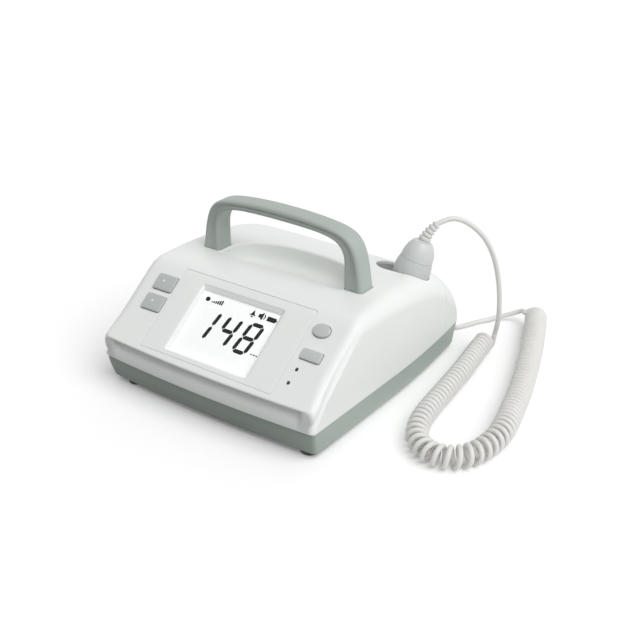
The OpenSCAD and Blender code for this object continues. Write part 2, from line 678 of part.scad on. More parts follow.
floor_cord = cord_d / 2 + 0.1;
socket_points = [[127, 293.5, 21.3], [120.5, 294.5, 14.5], [112.5, 291.5, 8.3], [104.5, 286, 4.6],
    [97.5, 279.5, 2.6], [92, 270.5, floor_cord], [86.5, 257.5, floor_cord], [79, 250.5, floor_cord],
    [68, 253, 4], [55, 265, 9], [47, 276, 16]];
plug_tip = [socket_x, side_len + bow(socket_x, side_len) + plug_end + plug_boot_len, socket_z];
tail_path = spline(concat(straight(coil_last, coil_out), socket_points,
    straight(plug_tip + [0, 4, 0], [0, -1, 0])), 2);
module socket_lead() color("whitesmoke") placed() tube(tail_path, 8);

// Least gap between one curl and the next ones, measured on points.
samples = [for (k = [0:curl_steps - 1], t = [0:2]) let (f = t / 3)
    coil_point(curl_s[k] * (1 - f) + curl_s[k + 1] * f, -360 * (k + f) / rings_per_curl)];
near_gap = min([for (i = [0:len(samples) - 1], j = [i + 11:i + 32]) if (j < len(samples))
    norm(samples[i] - samples[j])]) - cord_d;
echo(least_gap = near_gap, curls = curl_steps / rings_per_curl, coil_end = coil_last, out = coil_out);  // curly_cord

upper_housing();
rear_cover();
base_tray();
battery_door();
rubber_feet();
housing_screws();
handle();
handle_screws();
display_bezel();
display_window();
lcd_panel();
lcd_digits();
lcd_backlight();
panel_board();
tactile_switches();
indicator_leds();
upper_square_button();
lower_square_button();
round_button();
oblong_button();
upper_button_dot();
lower_button_dot();
main_board();
board_parts();
speaker();
battery_pack();
probe_holder();
probe_grip();
probe_cap();
probe_head();
probe_boot();
probe_socket();
dc_inlet();
probe_plug();
plug_boot();
probe_lead();
curly_cord();
socket_lead();
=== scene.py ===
# %% [markdown]
# # A desktop fetal doppler monitor, dressed for rendering
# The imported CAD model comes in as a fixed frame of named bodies. Every visible moulding is then
# remade finer over its CAD node, in the same place, because a CAD mesh has few facets and no
# rounded edges. Sizes below are millimetres, as on a drawing, and become metres in one place.

# %% Load the frame
from math import copysign, cos, exp, log, pi, radians, sin, sqrt, tan
import bmesh
import bpy
from mathutils import Matrix, Vector


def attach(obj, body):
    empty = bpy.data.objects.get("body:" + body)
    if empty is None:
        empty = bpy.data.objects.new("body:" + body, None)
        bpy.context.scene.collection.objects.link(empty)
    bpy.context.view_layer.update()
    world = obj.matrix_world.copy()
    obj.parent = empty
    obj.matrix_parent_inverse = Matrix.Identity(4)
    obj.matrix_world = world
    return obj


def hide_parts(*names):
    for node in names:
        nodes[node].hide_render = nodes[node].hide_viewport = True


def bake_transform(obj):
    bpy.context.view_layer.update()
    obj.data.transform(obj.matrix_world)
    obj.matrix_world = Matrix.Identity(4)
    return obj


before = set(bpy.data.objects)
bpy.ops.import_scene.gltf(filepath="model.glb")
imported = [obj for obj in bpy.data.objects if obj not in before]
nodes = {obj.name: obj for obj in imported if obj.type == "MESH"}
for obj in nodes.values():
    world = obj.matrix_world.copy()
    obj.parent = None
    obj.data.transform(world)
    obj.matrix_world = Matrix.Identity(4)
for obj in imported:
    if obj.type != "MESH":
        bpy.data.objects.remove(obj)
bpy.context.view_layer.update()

# %% [markdown]
# ## Camera
# The photograph looks down at 27 degrees on the front right corner, so that the panel, the
# handle and the right side all show. A real lens of about 63 mm gives its mild perspective.

# %% Camera
camera = bpy.data.objects.new("camera", bpy.data.cameras.new("camera"))
camera.location = (0.507528, -0.662762, 0.464328)
camera.rotation_euler = (radians(63), 0, radians(36.006))
camera.data.lens = 63.257
camera.data.sensor_width = 36
bpy.context.scene.collection.objects.link(camera)
bpy.context.scene.camera = camera
print("camera stands", round(camera.location.length, 2), "m from the middle of the body")

# %% [markdown]
# ## Helpers for meshes
# Each piece starts in a bmesh. `skinned` lays one grid over a list of equal rings, which makes
# lofts and sweeps, `turned` spins a profile, `slab` bevels a block, and `cut` takes one shape out
# of another. `keep` turns the bmesh into an object that rides on its CAD body.

# %% Mesh helpers
MID_Y = 117.0                  # from the front corners back to the frame's origin


def mm(*p):
    """A vector in millimetres becomes one in metres."""
    return Vector(p) / 1000


def placed(p):
    """A point in millimetres from the front corners becomes metres in the frame."""
    return mm(p[0], p[1] - MID_Y, p[2])


def stand(*p):
    """The matrix that takes a part made round the origin to a point of the body."""
    return Matrix.Translation(placed(p))


def tidy(bm):
    bmesh.ops.remove_doubles(bm, verts=bm.verts, dist=1e-7)
    bmesh.ops.dissolve_degenerate(bm, edges=bm.edges, dist=1e-8)
    bmesh.ops.recalc_face_normals(bm, faces=bm.faces)
    return bm


def laid(bm, rings, around):
    """Adds a grid to bm and moves its vertices onto the rings."""
    rows, count = len(rings) - 1, len(rings[0])
    columns = count if around else count - 1
    made = bmesh.ops.create_grid(bm, x_segments=rows, y_segments=columns, size=1)
    for v in made["verts"]:
        i, j = round((v.co.x + 1) * rows / 2), round((v.co.y + 1) * columns / 2)
        v.co = rings[i][j % count]


def skinned(rings, ends=True):
    """A solid through equal closed rings of points in metres."""
    bm = bmesh.new()
    laid(bm, rings, True)
    bmesh.ops.remove_doubles(bm, verts=bm.verts, dist=1e-7)
    if ends:
        bmesh.ops.holes_fill(bm, edges=[e for e in bm.edges if e.is_boundary], sides=0)
    return tidy(bm)


def turned(profile, steps=64):
    """A profile of (radius, height) in millimetres, spun round Z."""
    bm = bmesh.new()
    verts = [bm.verts.new((max(r, 0) / 1000, 0, z / 1000)) for r, z in profile]
    for a, b in zip(verts, verts[1:]):
        bm.edges.new((a, b))
    bmesh.ops.spin(bm, geom=bm.verts[:] + bm.edges[:], cent=(0, 0, 0), axis=(0, 0, 1), dvec=(0, 0, 0),
                   angle=2 * pi, steps=steps, use_merge=True)
    return tidy(bm)


def slab(size, corner, edge, bottom=0.0):
    """A block of width, length and height, with rounded corners and a rounded top edge."""
    bm = bmesh.new()
    bmesh.ops.create_cube(bm, size=1)
    bmesh.ops.translate(bm, vec=(0, 0, 0.5), verts=bm.verts)
    bmesh.ops.scale(bm, vec=[s / 1000 for s in size], verts=bm.verts)
    upright = [e for e in bm.edges if abs(e.verts[0].co.z - e.verts[1].co.z) > 1e-6]
    bmesh.ops.bevel(bm, geom=upright, offset=corner / 1000, segments=6, profile=0.5, affect="EDGES",
                    material=-1)
    if edge:
        top = [e for e in bm.edges if min(v.co.z for v in e.verts) > size[2] / 1000 - 1e-6]
        bmesh.ops.bevel(bm, geom=top, offset=edge / 1000, segments=4, profile=0.5, affect="EDGES",
                        material=-1)
    bmesh.ops.translate(bm, vec=(0, 0, bottom / 1000), verts=bm.verts)
    return tidy(bm)


def drum(size, height, edge, bottom=0.0, steps=72):
    """An oval block of width and length, with a rounded top edge."""
    bm = bmesh.new()
    bmesh.ops.create_cone(bm, cap_ends=True, segments=steps, radius1=0.5, radius2=0.5, depth=1)
    bmesh.ops.translate(bm, vec=(0, 0, 0.5), verts=bm.verts)
    bmesh.ops.scale(bm, vec=(size[0] / 1000, size[1] / 1000, height / 1000), verts=bm.verts)
    if edge:
        top = [e for e in bm.edges if min(v.co.z for v in e.verts) > height / 1000 - 1e-6]
        bmesh.ops.bevel(bm, geom=top, offset=edge / 1000, segments=4, profile=0.5, affect="EDGES",
                        material=-1)
    bmesh.ops.translate(bm, vec=(0, 0, bottom / 1000), verts=bm.verts)
    return tidy(bm)


def moved(bm, matrix):
    bmesh.ops.transform(bm, matrix=matrix, verts=bm.verts)
    return bm


def joined(*parts):
    whole = parts[0]
    for part in parts[1:]:
        mesh = bpy.data.meshes.new("part")
        part.to_mesh(mesh)
        part.free()
        whole.from_mesh(mesh)
        bpy.data.meshes.remove(mesh)
    return whole


def cut(bm, *cutters):
    """Takes each cutter out of bm with an exact boolean, and gives the new bmesh."""
    mesh = bpy.data.meshes.new("work")
    bm.to_mesh(mesh)
    bm.free()
    work = bpy.data.objects.new("work", mesh)
    bpy.context.scene.collection.objects.link(work)
    for cutter in cutters:
        tool_mesh = bpy.data.meshes.new("tool")
        cutter.to_mesh(tool_mesh)
        cutter.free()
        tool = bpy.data.objects.new("tool", tool_mesh)
        bpy.context.scene.collection.objects.link(tool)
        step = work.modifiers.new("cut", "BOOLEAN")
        step.operation, step.solver, step.object = "DIFFERENCE", "EXACT", tool
        seen = work.evaluated_get(bpy.context.evaluated_depsgraph_get())
        result = bpy.data.meshes.new_from_object(seen)
        work.modifiers.clear()
        work.data = result
        bpy.data.objects.remove(tool)
    out = bmesh.new()
    out.from_mesh(work.data)
    bpy.data.objects.remove(work)
    return out


def keep(bm, name, body, material, *replaced, angle=35):
    """The finished piece: smooth shaded apart from edges sharper than the angle."""
    mesh = bpy.data.meshes.new(name)
    bm.to_mesh(mesh)
    bm.free()
    mesh.polygons.foreach_set("use_smooth", [True] * len(mesh.polygons))
    mesh.set_sharp_from_angle(angle=radians(angle))
    mesh.materials.append(material)
    piece = bpy.data.objects.new(name, mesh)
    bpy.context.scene.collection.objects.link(piece)
    if body:
        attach(piece, body)
    if replaced:
        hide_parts(*replaced)
    print(f"{name}: {len(mesh.polygons)} faces")
    return piece


# %% [markdown]
# ## Finishes
# All the shells are injection-moulded ABS. The mould is spark-eroded, which leaves a fine even
# grain and a soft highlight. The grain is about 0.15 mm on the real shell, too fine for the
# render, so it is drawn at about twice that. A second noise, tens of millimetres wide, shifts the
# colour by a percent or two, as daylight on a large moulding does.

# %% Finish helpers
DRIFT = 35.0                   # width of the patches of a moulding's colour


def linear(code):
    """An sRGB hex colour as linear RGBA."""
    parts = [int(code[i:i + 2], 16) / 255 for i in (1, 3, 5)]
    return [p / 12.92 if p <= 0.04045 else ((p + 0.055) / 1.055) ** 2.4 for p in parts] + [1.0]


def add(tree, kind, links=None, **settings):
    """Adds one node, sets its properties and inputs, and links its inputs from other sockets."""
    node = tree.nodes.new(kind)
    for name, value in settings.items():
        if hasattr(node, name) and name not in node.inputs:
            setattr(node, name, value)
        else:
            put(node, **{name: value})
    for name, source in (links or {}).items():
        tree.links.new(source, node.inputs[name])
    return node


def put(node, **values):
    """Sets a node's inputs by their names."""
    for name, value in values.items():
        node.inputs[name.replace("_", " ")].default_value = value


def finish(name, build):
    """A material whose Principled shader is filled in by build(tree, shader)."""
    material = bpy.data.materials.new(name)
    material.use_nodes = True
    build(material.node_tree, material.node_tree.nodes["Principled BSDF"])
    return material


def drifting(tree, place, one, other, wide, detail=1.0):
    """A colour that drifts between two hex values, in patches this many millimetres wide."""
    noise = add(tree, "ShaderNodeTexNoise", {"Vector": place}, Scale=1000 / wide, Detail=detail)
    mix = add(tree, "ShaderNodeMix", {"Factor": noise.outputs["Fac"]}, data_type="RGBA",
              A=linear(one), B=linear(other))
    return mix.outputs["Result"]


def plastic(name, pale, dark, roughness, grain=0.3, depth=0.012, **extra):
    """A moulded plastic: a drifting colour, and a spark-eroded grain whose width and depth are
    given in millimetres."""
    def build(tree, shader):
        place = add(tree, "ShaderNodeTexCoord").outputs["Object"]
        tree.links.new(drifting(tree, place, dark, pale, DRIFT, 2.0), shader.inputs["Base Color"])
        fine = add(tree, "ShaderNodeTexNoise", {"Vector": place}, Scale=1000 / grain, Detail=2.0)
        bump = add(tree, "ShaderNodeBump", {"Height": fine.outputs["Fac"]}, Strength=1.0,
                   Distance=depth / 1000)
        tree.links.new(bump.outputs["Normal"], shader.inputs["Normal"])
        put(shader, Roughness=roughness, IOR=1.53, **extra)
    return finish(name, build)


# %% Plastics
white_abs = plastic("moulded_white_abs", "#F1F3F1", "#EBEEEC", 0.42)
grey_abs = plastic("moulded_grey_abs", "#ABB7AE", "#A3B0A7", 0.5, depth=0.02)
handle_abs = plastic("moulded_handle_abs", "#B3BBB6", "#ABB4AE", 0.48, depth=0.02,
                     Specular_IOR_Level=0.2)
bezel_abs = plastic("moulded_bezel_abs", "#F0F2F0", "#EAEDEB", 0.45)
button_rubber = plastic("moulded_grey_silicone", "#BDC2C0", "#B7BDBA", 0.5, depth=0.01)
pale_button = plastic("moulded_pale_silicone", "#C6CACA", "#C0C5C4", 0.5, depth=0.01)
dot_paint = plastic("white_pad_print", "#F0F2F0", "#EAECEA", 0.5, depth=0.004)
probe_abs = plastic("moulded_probe_abs", "#CACECC", "#C3C8C6", 0.38, Subsurface_Weight=0.15,
                    Subsurface_Scale=0.002)
# The cap is painted a little paler than the grip: a painted highlight for the top of the probe, which
# faces the light.
cap_abs_painted_highlight = plastic("probe_cap_abs_painted_highlight", "#D4D7D5", "#CDD1CF", 0.4)
boot_pvc = plastic("soft_white_pvc", "#E2E1DE", "#DAD9D6", 0.5)
cord_pvc = plastic("white_pvc_sheath", "#E4E3E0", "#DDDCD9", 0.42, grain=0.5)
rubber = plastic("dark_rubber", "#5E6461", "#565C59", 0.8, grain=0.4, depth=0.03)
black_abs = plastic("black_abs", "#1C1E1F", "#17191A", 0.4)
ink = plastic("display_ink", "#0C0D0E", "#08090A", 0.7, depth=0.001, Specular_IOR_Level=0.05)
led_epoxy = plastic("smoked_led_epoxy", "#2A2E2F", "#222627", 0.3, depth=0.002)
holder_abs = plastic("well_lining_abs", "#D5D9D7", "#CDD2CF", 0.5)
light_guide = plastic("milky_acrylic_light_guide", "#F0F2F2", "#E8EBEB", 0.3, depth=0.002)
print("plastics:", len(bpy.data.materials))

# %% [markdown]
# The display is a reflective panel behind a thin clear window. A positive liquid crystal panel
# with its light on looks like bright, slightly cold paper, so it gives off a little light.

# %% Display, metal and board finishes
def lit_panel(tree, shader):
    place = add(tree, "ShaderNodeTexCoord").outputs["Object"]
    colour = drifting(tree, place, "#F4F7F6", "#FBFCFB", 60)
    tree.links.new(colour, shader.inputs["Base Color"])
    put(shader, Roughness=0.5, Emission_Color=linear("#F6F9F8"), Emission_Strength=0.16)


def uneven_gloss(tree, shader, wide, detail, least, most):
    """Roughness that drifts between two values, in patches this many millimetres wide."""
    place = add(tree, "ShaderNodeTexCoord").outputs["Object"]
    noise = add(tree, "ShaderNodeTexNoise", {"Vector": place}, Scale=1000 / wide, Detail=detail)
    spread = add(tree, "ShaderNodeMapRange", {"Value": noise.outputs["Fac"]}, To_Min=least,
                 To_Max=most)
    tree.links.new(spread.outputs["Result"], shader.inputs["Roughness"])


def clear_sheet(tree, shader):
    uneven_gloss(tree, shader, 25, 1.0, 0.05, 0.1)
    put(shader, Base_Color=linear("#F7FAF9"), IOR=1.49, Alpha=0.015)


def steel(tree, shader):
    uneven_gloss(tree, shader, 0.4, 2.0, 0.28, 0.42)
    put(shader, Base_Color=linear("#BFC2C4"), Metallic=1.0)


lcd_face = finish("lit_display_face", lit_panel)
clear_acrylic = finish("clear_acrylic_window", clear_sheet)
zinc_steel = finish("zinc_plated_steel", steel)
green_board = plastic("green_circuit_board", "#2F6B45", "#28613D", 0.35, grain=0.8)
cell_film = plastic("blue_shrink_film", "#3C5FA0", "#355691", 0.3)
speaker_steel = plastic("painted_speaker_steel", "#83878A", "#7B8083", 0.45)
print("materials:", len(bpy.data.materials))

# %% [markdown]
# ## The curly cord
# The probe's cord is a PVC-sheathed cable, 4.2 mm thick and wound into some 84 curls. It leaves
# the probe's boot, arches over, lies on the table in a long loop and ends at the socket behind.
# The curls are a helix carried along a smooth curve, so they are worked out as points and skinned
# with a round tube. The route and the winding repeat the CAD source's values: the curls lie close
# on the straight runs and open in the bend, and they are wider on the way back.

# %% Cord route
CORD_D = 4.2
CURL_R = (6.7, 7.6)
CURL_GAP = (5.3, 7.2, 4.9)
BEND_FROM, BEND_TO, BEND_EASE = 122.0, 286.0, 40.0
CURL_STEPS = 7


def ramp(x):
    """A soft step from 0 to 1."""
    t = min(1.0, max(0.0, x))
    return t * t * (3 - 2 * t)


def spline(points, steps):
    """A smooth curve through points, with this many steps between each two."""
    p = [Vector(q) for q in points]
    out = []
    for i in range(len(p) - 1):
        a, b, c, d = p[max(0, i - 1)], p[i], p[i + 1], p[min(len(p) - 1, i + 2)]
        for k in range(steps):
            t = k / steps
            out.append(0.5 * (2 * b + (c - a) * t + (2 * a - 5 * b + 4 * c - d) * t * t
                              + (3 * b - a - 3 * c + d) * t ** 3))
    return out + [p[-1]]


def lengths(points):
    total = [0.0]
    for a, b in zip(points, points[1:]):
        total.append(total[-1] + (b - a).length)
    return total


coil_route = [(120, 230), (124, 205), (129.5, 175), (134.5, 139), (139.5, 102), (145, 80),
              (155, 62), (171, 53), (187, 56), (198, 70), (201.5, 92), (199.5, 112), (194, 134),
              (184.5, 168), (172, 205), (157.5, 244), (144, 276), (134, 298)]
coil_curve = spline([(x, y, 0) for x, y in coil_route], 10)
coil_lengths = lengths(coil_curve)


def direction(points, i):
    return (points[min(len(points) - 1, i + 1)] - points[max(0, i - 1)]).normalized()


def coil_point(s, turn):
    """The cord's middle at distance s along the coil's axis, and at this angle round it."""
    i = 0
    while i < len(coil_lengths) - 2 and coil_lengths[i + 1] < s:
        i += 1
    t = (s - coil_lengths[i]) / (coil_lengths[i + 1] - coil_lengths[i])
    d = (direction(coil_curve, i) * (1 - t) + direction(coil_curve, i + 1) * t).normalized()
    side = d.cross(Vector((0, 0, 1))).normalized()
    r = CURL_R[0] + (CURL_R[1] - CURL_R[0]) * ramp((s - BEND_FROM) / (BEND_TO - BEND_FROM))
    middle = coil_curve[i].lerp(coil_curve[i + 1], t) + Vector((0, 0, r + CORD_D / 2 + 0.3))
    return middle + r * (-side * cos(turn) + Vector((0, 0, 1)) * sin(turn))


def curl_gap(s):
    """The distance from curl to curl at s."""
    into, out_of = ramp((s - BEND_FROM) / BEND_EASE), ramp((s - BEND_TO + BEND_EASE) / BEND_EASE)
    straight_gap, bend_gap, last_gap = CURL_GAP
    return straight_gap + (bend_gap - straight_gap) * into + (last_gap - bend_gap) * out_of


def curls(fine):
    """The winding, with this many points for each seventh of a curl."""
    s = [0.0]
    while s[-1] + curl_gap(s[-1]) / CURL_STEPS < coil_lengths[-1]:
        s.append(s[-1] + curl_gap(s[-1]) / CURL_STEPS)
    last = (len(s) - 1) // CURL_STEPS * CURL_STEPS - 1
    points = []
    for k in range(last * fine + 1):
        i, part = divmod(k, fine)
        at = s[i] + (s[min(i + 1, len(s) - 1)] - s[i]) * part / fine
        points.append(coil_point(at, -2 * pi * k / (CURL_STEPS * fine)))
    return points


curl_points = curls(4)
coil_in = (curl_points[1] - curl_points[0]).normalized()
coil_out = (curl_points[-1] - curl_points[-2]).normalized()
coil_first = curl_points[0] - coil_in * CORD_D
coil_last = curl_points[-1] + coil_out * CORD_D
print("coil axis", round(coil_lengths[-1]), "mm,", round(len(curl_points) / 4 / CURL_STEPS, 1), "curls")

# %% [markdown]
# A tube needs a pair of side vectors at each point that never twist. Each pair is the last one
# turned as little as possible.

# %% Tubes
def tube_rings(points, radius, sides):
    rings, side = [], None
    for i, p in enumerate(points):
        d = direction(points, i)
        if side is None:
            side = d.cross(Vector((0, 1, 0)) if abs(d.z) > 0.9 else Vector((0, 0, 1)))
        side = (side - d * side.dot(d)).normalized()
        up = d.cross(side)
        rings.append([placed(p + radius * (cos(2 * pi * k / sides) * side
                                           + sin(2 * pi * k / sides) * up))
                      for k in range(sides)])
    return rings


def straight(p, d):
    return [p + 2 * k * d for k in range(3)]


PROBE_AT = Vector((82.4, 167.2, 91.5))
LEAN, TURN = radians(20.9), radians(51.8)
lean = Vector((sin(LEAN) * cos(TURN), sin(LEAN) * sin(TURN), cos(LEAN)))
CAP_TOP, BOOT_LEN, BOOT_BEND = 22.5, 17.0, radians(35)
BOOT_R = BOOT_LEN / BOOT_BEND
across = Vector((cos(LEAN) * cos(TURN), cos(LEAN) * sin(TURN),
                 -sin(LEAN)))
lead_start = (PROBE_AT + (CAP_TOP + BOOT_R * sin(BOOT_BEND)) * lean
              + BOOT_R * (1 - cos(BOOT_BEND)) * across)
lead_out = lean * cos(BOOT_BEND) + across * sin(BOOT_BEND)
arch_points = [(100, 189.3, 129.2), (104.5, 194, 129.2), (110, 199.7, 126), (116, 206, 119.5),
               (121.5, 212.5, 110), (126, 217.5, 98), (129, 221.5, 84), (131, 224.5, 68),
               (132, 226.5, 51), (131.5, 228, 34)]
arch = spline(straight(lead_start - 2 * lead_out, lead_out) + arch_points
              + straight(coil_first - 4 * coil_in, coil_in), 8)

SOCKET = Vector((46, 234 + 4 * (1 - (46 / 105) ** 2), 23))
plug_tip = SOCKET + Vector((0, 24.1, 0))
socket_points = [(121.5, 296, 11), (115, 293, 8.2), (108.5, 288.5, 5.8), (102.5, 283.5, 4),
                 (97.5, 277.5, 2.6), (92.5, 270, 2.2), (86.5, 257.5, 2.2), (80, 247.5, 2.2),
                 (68, 251, 4), (55, 265, 9), (47, 276, 16)]
tail = spline([coil_last, coil_last + 2 * coil_out] + socket_points
              + straight(plug_tip + Vector((0, 4, 0)), Vector((0, -1, 0))), 8)
winding = [coil_first] + curl_points + [coil_last]


def cord_piece(name, node, points, sides, body, exit, lay):
    piece = keep(skinned(tube_rings(points, CORD_D / 2, sides)), name, body, cord_pvc, node, angle=60)
    long = lengths(points)[-1] / 1000
    print(name, "runs", round(long, 3), "m")
    return piece, dict(exit=placed(exit), length=long, diameter=CORD_D / 1000, far_end="object",
                       stiffness="medium", lay=lay, path=[placed(p) for p in points])


curly_cord, curly_facts = cord_piece("curly_sheath", "curly_cord", winding, 12, "housing",
                                     coil_first, "coiled")
probe_lead, probe_facts = cord_piece("arching_lead", "probe_lead", arch, 20, None,
                                     lead_start, "hanging")
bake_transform(probe_lead)
socket_lead, socket_facts = cord_piece("socket_tail", "socket_lead", tail, 20, "housing",
                                       plug_tip, "loose")

# %% [markdown]
# ## The body's outer form
# Seen from the side the body is a ramp that meets a flat deck and then falls away at the back.
# Every moulding on it shares one form, so the form is a few functions of the distance y from the
# front corners, the same as in the CAD source. `section` gives the outline across the body there.

# %% Form functions
BODY_W, SIDE_LEN, BASE_TOP, CREASE_Z, DECK_Z = 210.0, 234.0, 25.2, 43.5, 93.4
REAR_FROM, PARTING = 135.0, 193.0
TILT = radians(37.7)
EDGE = 0.8                     # rounding of the front crease
WALL = 2.5                     # thickness of the mouldings


def soft_min(a, b, k):
    low = min(a, b)
    return low - k * log(exp((low - a) / k) + exp((low - b) / k))


def half_width(y):
    """Half the width at y: narrower towards the back, with rounded corners in plan."""
    w = BODY_W / 2 - 0.00062 * max(0.0, y - 105) ** 2
    f, c = max(0.0, 3 - y), min(20.0, max(0.0, y - SIDE_LEN + 20))
    return w - 3 + sqrt(9 - f * f) - 20 + sqrt(400 - c * c)


def top_z(y):
    """Height of the top at y: the ramp, the flat deck and the fall at the back, blended."""
    panel, deck = CREASE_Z + y * tan(TILT), DECK_Z - 0.0006 * (y - 115) ** 2
    u = min(1.0, (y - REAR_FROM) / (SIDE_LEN - REAR_FROM))
    rear = (DECK_Z + 0.3 * (REAR_FROM - y) if y < REAR_FROM
            else BASE_TOP + (DECK_Z - BASE_TOP) * (1 - u * u) ** 0.63)
    return soft_min(soft_min(panel, deck, 2), rear, 1.2)


def side_radius(y):
    """The radius between the top and the sides, which grows towards the back."""
    return min(6 + 4 * ramp(y / 25) + 0.09 * max(0.0, y - 60), 0.9 * (top_z(y) - BASE_TOP))


def bow(x, y):
    """How far the bowed front and back move a point forwards or back."""
    return (1 - (x / 105) ** 2) * (4 * max(0, 1 - (SIDE_LEN - y) / 60) - 4 * max(0, 1 - y / 60))


def skin_height(x, s):
    """How far the crowned skin stands above the panel's own plane at x, and s up the slope."""
    low, high = -5.0, 80.0
    for _ in range(30):
        y = (low + high) / 2
        dy, dz = y + bow(x, y) + 1.2, top_z(y) - 42.6
        if dy * cos(TILT) + dz * sin(TILT) < s:
            low = y
        else:
            high = y
    return -dy * sin(TILT) + dz * cos(TILT)


print("deck", round(top_z(115), 1), "mm; crown of the panel at its front",
      round(skin_height(0, 8), 2), "mm")

# %% [markdown]
# The white shell carries two scoops: a deep groove under the front crease, whose upper lip is
# sharp and whose lower side runs out softly, and a flute along each side that points at the
# handle. Both fade out, which a boolean can't do, so the grid is fine enough there and its
# vertices are pressed in.

# %% Scoops
GROOVE = [(42.6, 0.0), (42.54, 0.25), (42.46, 2.6), (41.8, 3.9), (40.8, 4.8), (39.6, 5.2), (38.4, 5.3),
          (37.4, 5.3), (36.4, 4.8), (35.4, 4.05), (34.4, 3.3), (33.2, 2.5), (32, 1.8), (30.6, 1.15),
          (29, 0.65), (27.4, 0.28), (26.2, 0.08), (25.6, 0.0)]
GROOVE_END = 95.2


def between(table, z):
    for (z1, d1), (z0, d0) in zip(table, table[1:]):
        if z0 <= z <= z1:
            return d0 + (d1 - d0) * (z - z0) / (z1 - z0)
    return 0.0


FLUTE = [Vector((-2, 27.5)), Vector((15.4, 47.9)), Vector((36, 65.7)), Vector((62, 86.8))]
FLUTE_WIDE = [3.6, 3.3, 2.6, 0.5]
FLUTE_DEEP = [2.1, 2.0, 1.5, 0.1]


def flute_depth(y, z):
    """Depth of the side flute at a point of the side: soft above its line and crisp below it."""
    best = 0.0
    for k in range(3):
        a, b = FLUTE[k], FLUTE[k + 1]
        t = min(1.0, max(0.0, (Vector((y, z)) - a).dot(b - a) / (b - a).length_squared))
        off = Vector((y, z)) - a.lerp(b, t)
        across = off.length * (1 if (b - a).cross(off) > 0 else -1)
        wide = FLUTE_WIDE[k] + (FLUTE_WIDE[k + 1] - FLUTE_WIDE[k]) * t
        deep = FLUTE_DEEP[k] + (FLUTE_DEEP[k + 1] - FLUTE_DEEP[k]) * t
        u = across / wide
        if -1 < u < 1:
            shape = 1 - ramp(u) if u > 0 else 1 - (-u) ** 3
            best = max(best, deep * shape)
    return best


def pressed(x, y, z):
    """A point of the outer skin, pressed in where a scoop passes."""
    if y < 1.3 and abs(x) < 96:
        inward = between(GROOVE, z) * ramp((GROOVE_END - abs(x)) / 6) * (1 - y / 1.3)
        return Vector((x, y + bow(x, y) + inward, z))
    if abs(x) > 98 and y < 66:
        inward = flute_depth(y, z) * ramp((96 - z) / 6)
        return Vector((x - copysign(inward, x), y + bow(x, y), z))
    return Vector((x, y + bow(x, y), z))


# %% [markdown]
# `form` skins the outline at each station, and closes the two ends with grids of upright columns
# that share the outline's points. An end made of one big face would crease where it is bowed.

# %% Form mesh
SHELL_LOW, FRONT_TOP = BASE_TOP + 0.1, CREASE_Z - EDGE
SIDE_STEPS = [i / 12 * 0.36 for i in range(12)] + [0.36 + i / 30 * 0.64 for i in range(31)]
SIDE_STEPS = sorted(SIDE_STEPS + [(z - SHELL_LOW) / (FRONT_TOP - SHELL_LOW) for z, depth in GROOVE])
ACROSS = sorted([i / 20 for i in range(-19, 20)]
                + [side * (0.905 + 0.006 * k) for k in range(13) for side in (-1, 1)], reverse=True)


def outline(y, g, low, fine):
    """Top points from right to left, for a section at y."""
    w = half_width(y) - g
    t = max(top_z(y) - 1.25 * g, low + 1)
    if fine and y < EDGE:
        t -= EDGE - sqrt(EDGE ** 2 - (EDGE - y) ** 2)
    r = min(max(side_radius(y) - g, 1.5), 0.9 * (t - low))
    arcs, flats = (14, ACROSS) if fine else (6, [2 / 3, 1 / 3, 0, -1 / 3, -2 / 3])
    arc = [(w - r + r * cos(pi / 2 * i / arcs), t - r + r * sin(pi / 2 * i / arcs))
           for i in range(arcs + 1)]
    flat = [((w - r) * f, t) for f in flats]
    return arc + flat + [(-x, z) for x, z in reversed(arc)]


def form(stations, low, fine=True, shift=0.0):
    """A closed solid from the height low up, through stations of (y, inset), moved back by shift."""
    steps = SIDE_STEPS if fine else [0, 0.5, 1]
    shape = pressed if fine else (lambda x, y, z: Vector((x, y + bow(x, y), z)))
    rings = []
    for y, g in stations:
        top = outline(y, g, low, fine)
        w, edge = top[0]
        up = [(w, low + f * (edge - low)) for f in steps[:-1]]
        ring = up + top + [(-x, z) for x, z in reversed(up)]
        ring += [(x, low) for x, z in reversed(top[1:-1])]
        rings.append([placed(shape(x, y, z) + Vector((0, shift, 0))) for x, z in ring])
    bm = bmesh.new()
    laid(bm, rings, True)
    for y, g in (stations[0], stations[-1]):
        top = outline(y, g, low, fine)
        columns = [[placed(shape(x, y, low + f * (z - low)) + Vector((0, shift, 0))) for f in steps]
                   for x, z in top]
        end = bmesh.new()
        laid(end, columns, False)
        bm = joined(bm, end)
    return tidy(bm)


def end_eased(first, last, amount=0.45):
    """Stations with no inset, and then four that round the last edge by amount."""
    angles = [pi / 6 * k for k in range(4)]
    return [(y, 0.0) for y in first] + [(last - amount * (1 - sin(a)), amount * (1 - cos(a)))
                                        for a in angles]


# %% [markdown]
# ## Places on the panel and round the probe
# Buttons, display and lamps are drawn flat and then laid on the tilted panel by one matrix. The
# openings round them are cutters whose mouths open out by half a millimetre, which gives every
# opening the small moulded radius that catches the light. `rounded` draws their outlines.

# %% Places and openings
PANEL = stand(0, -1.2, 42.6) @ Matrix.Rotation(TILT, 4, "X")
PROBE = stand(*PROBE_AT) @ Matrix.Rotation(TURN, 4, "Z") @ Matrix.Rotation(LEAN, 4, "Y")


def on_panel(x, s, h=0.0):
    return PANEL @ Matrix.Translation(mm(x, s, h))


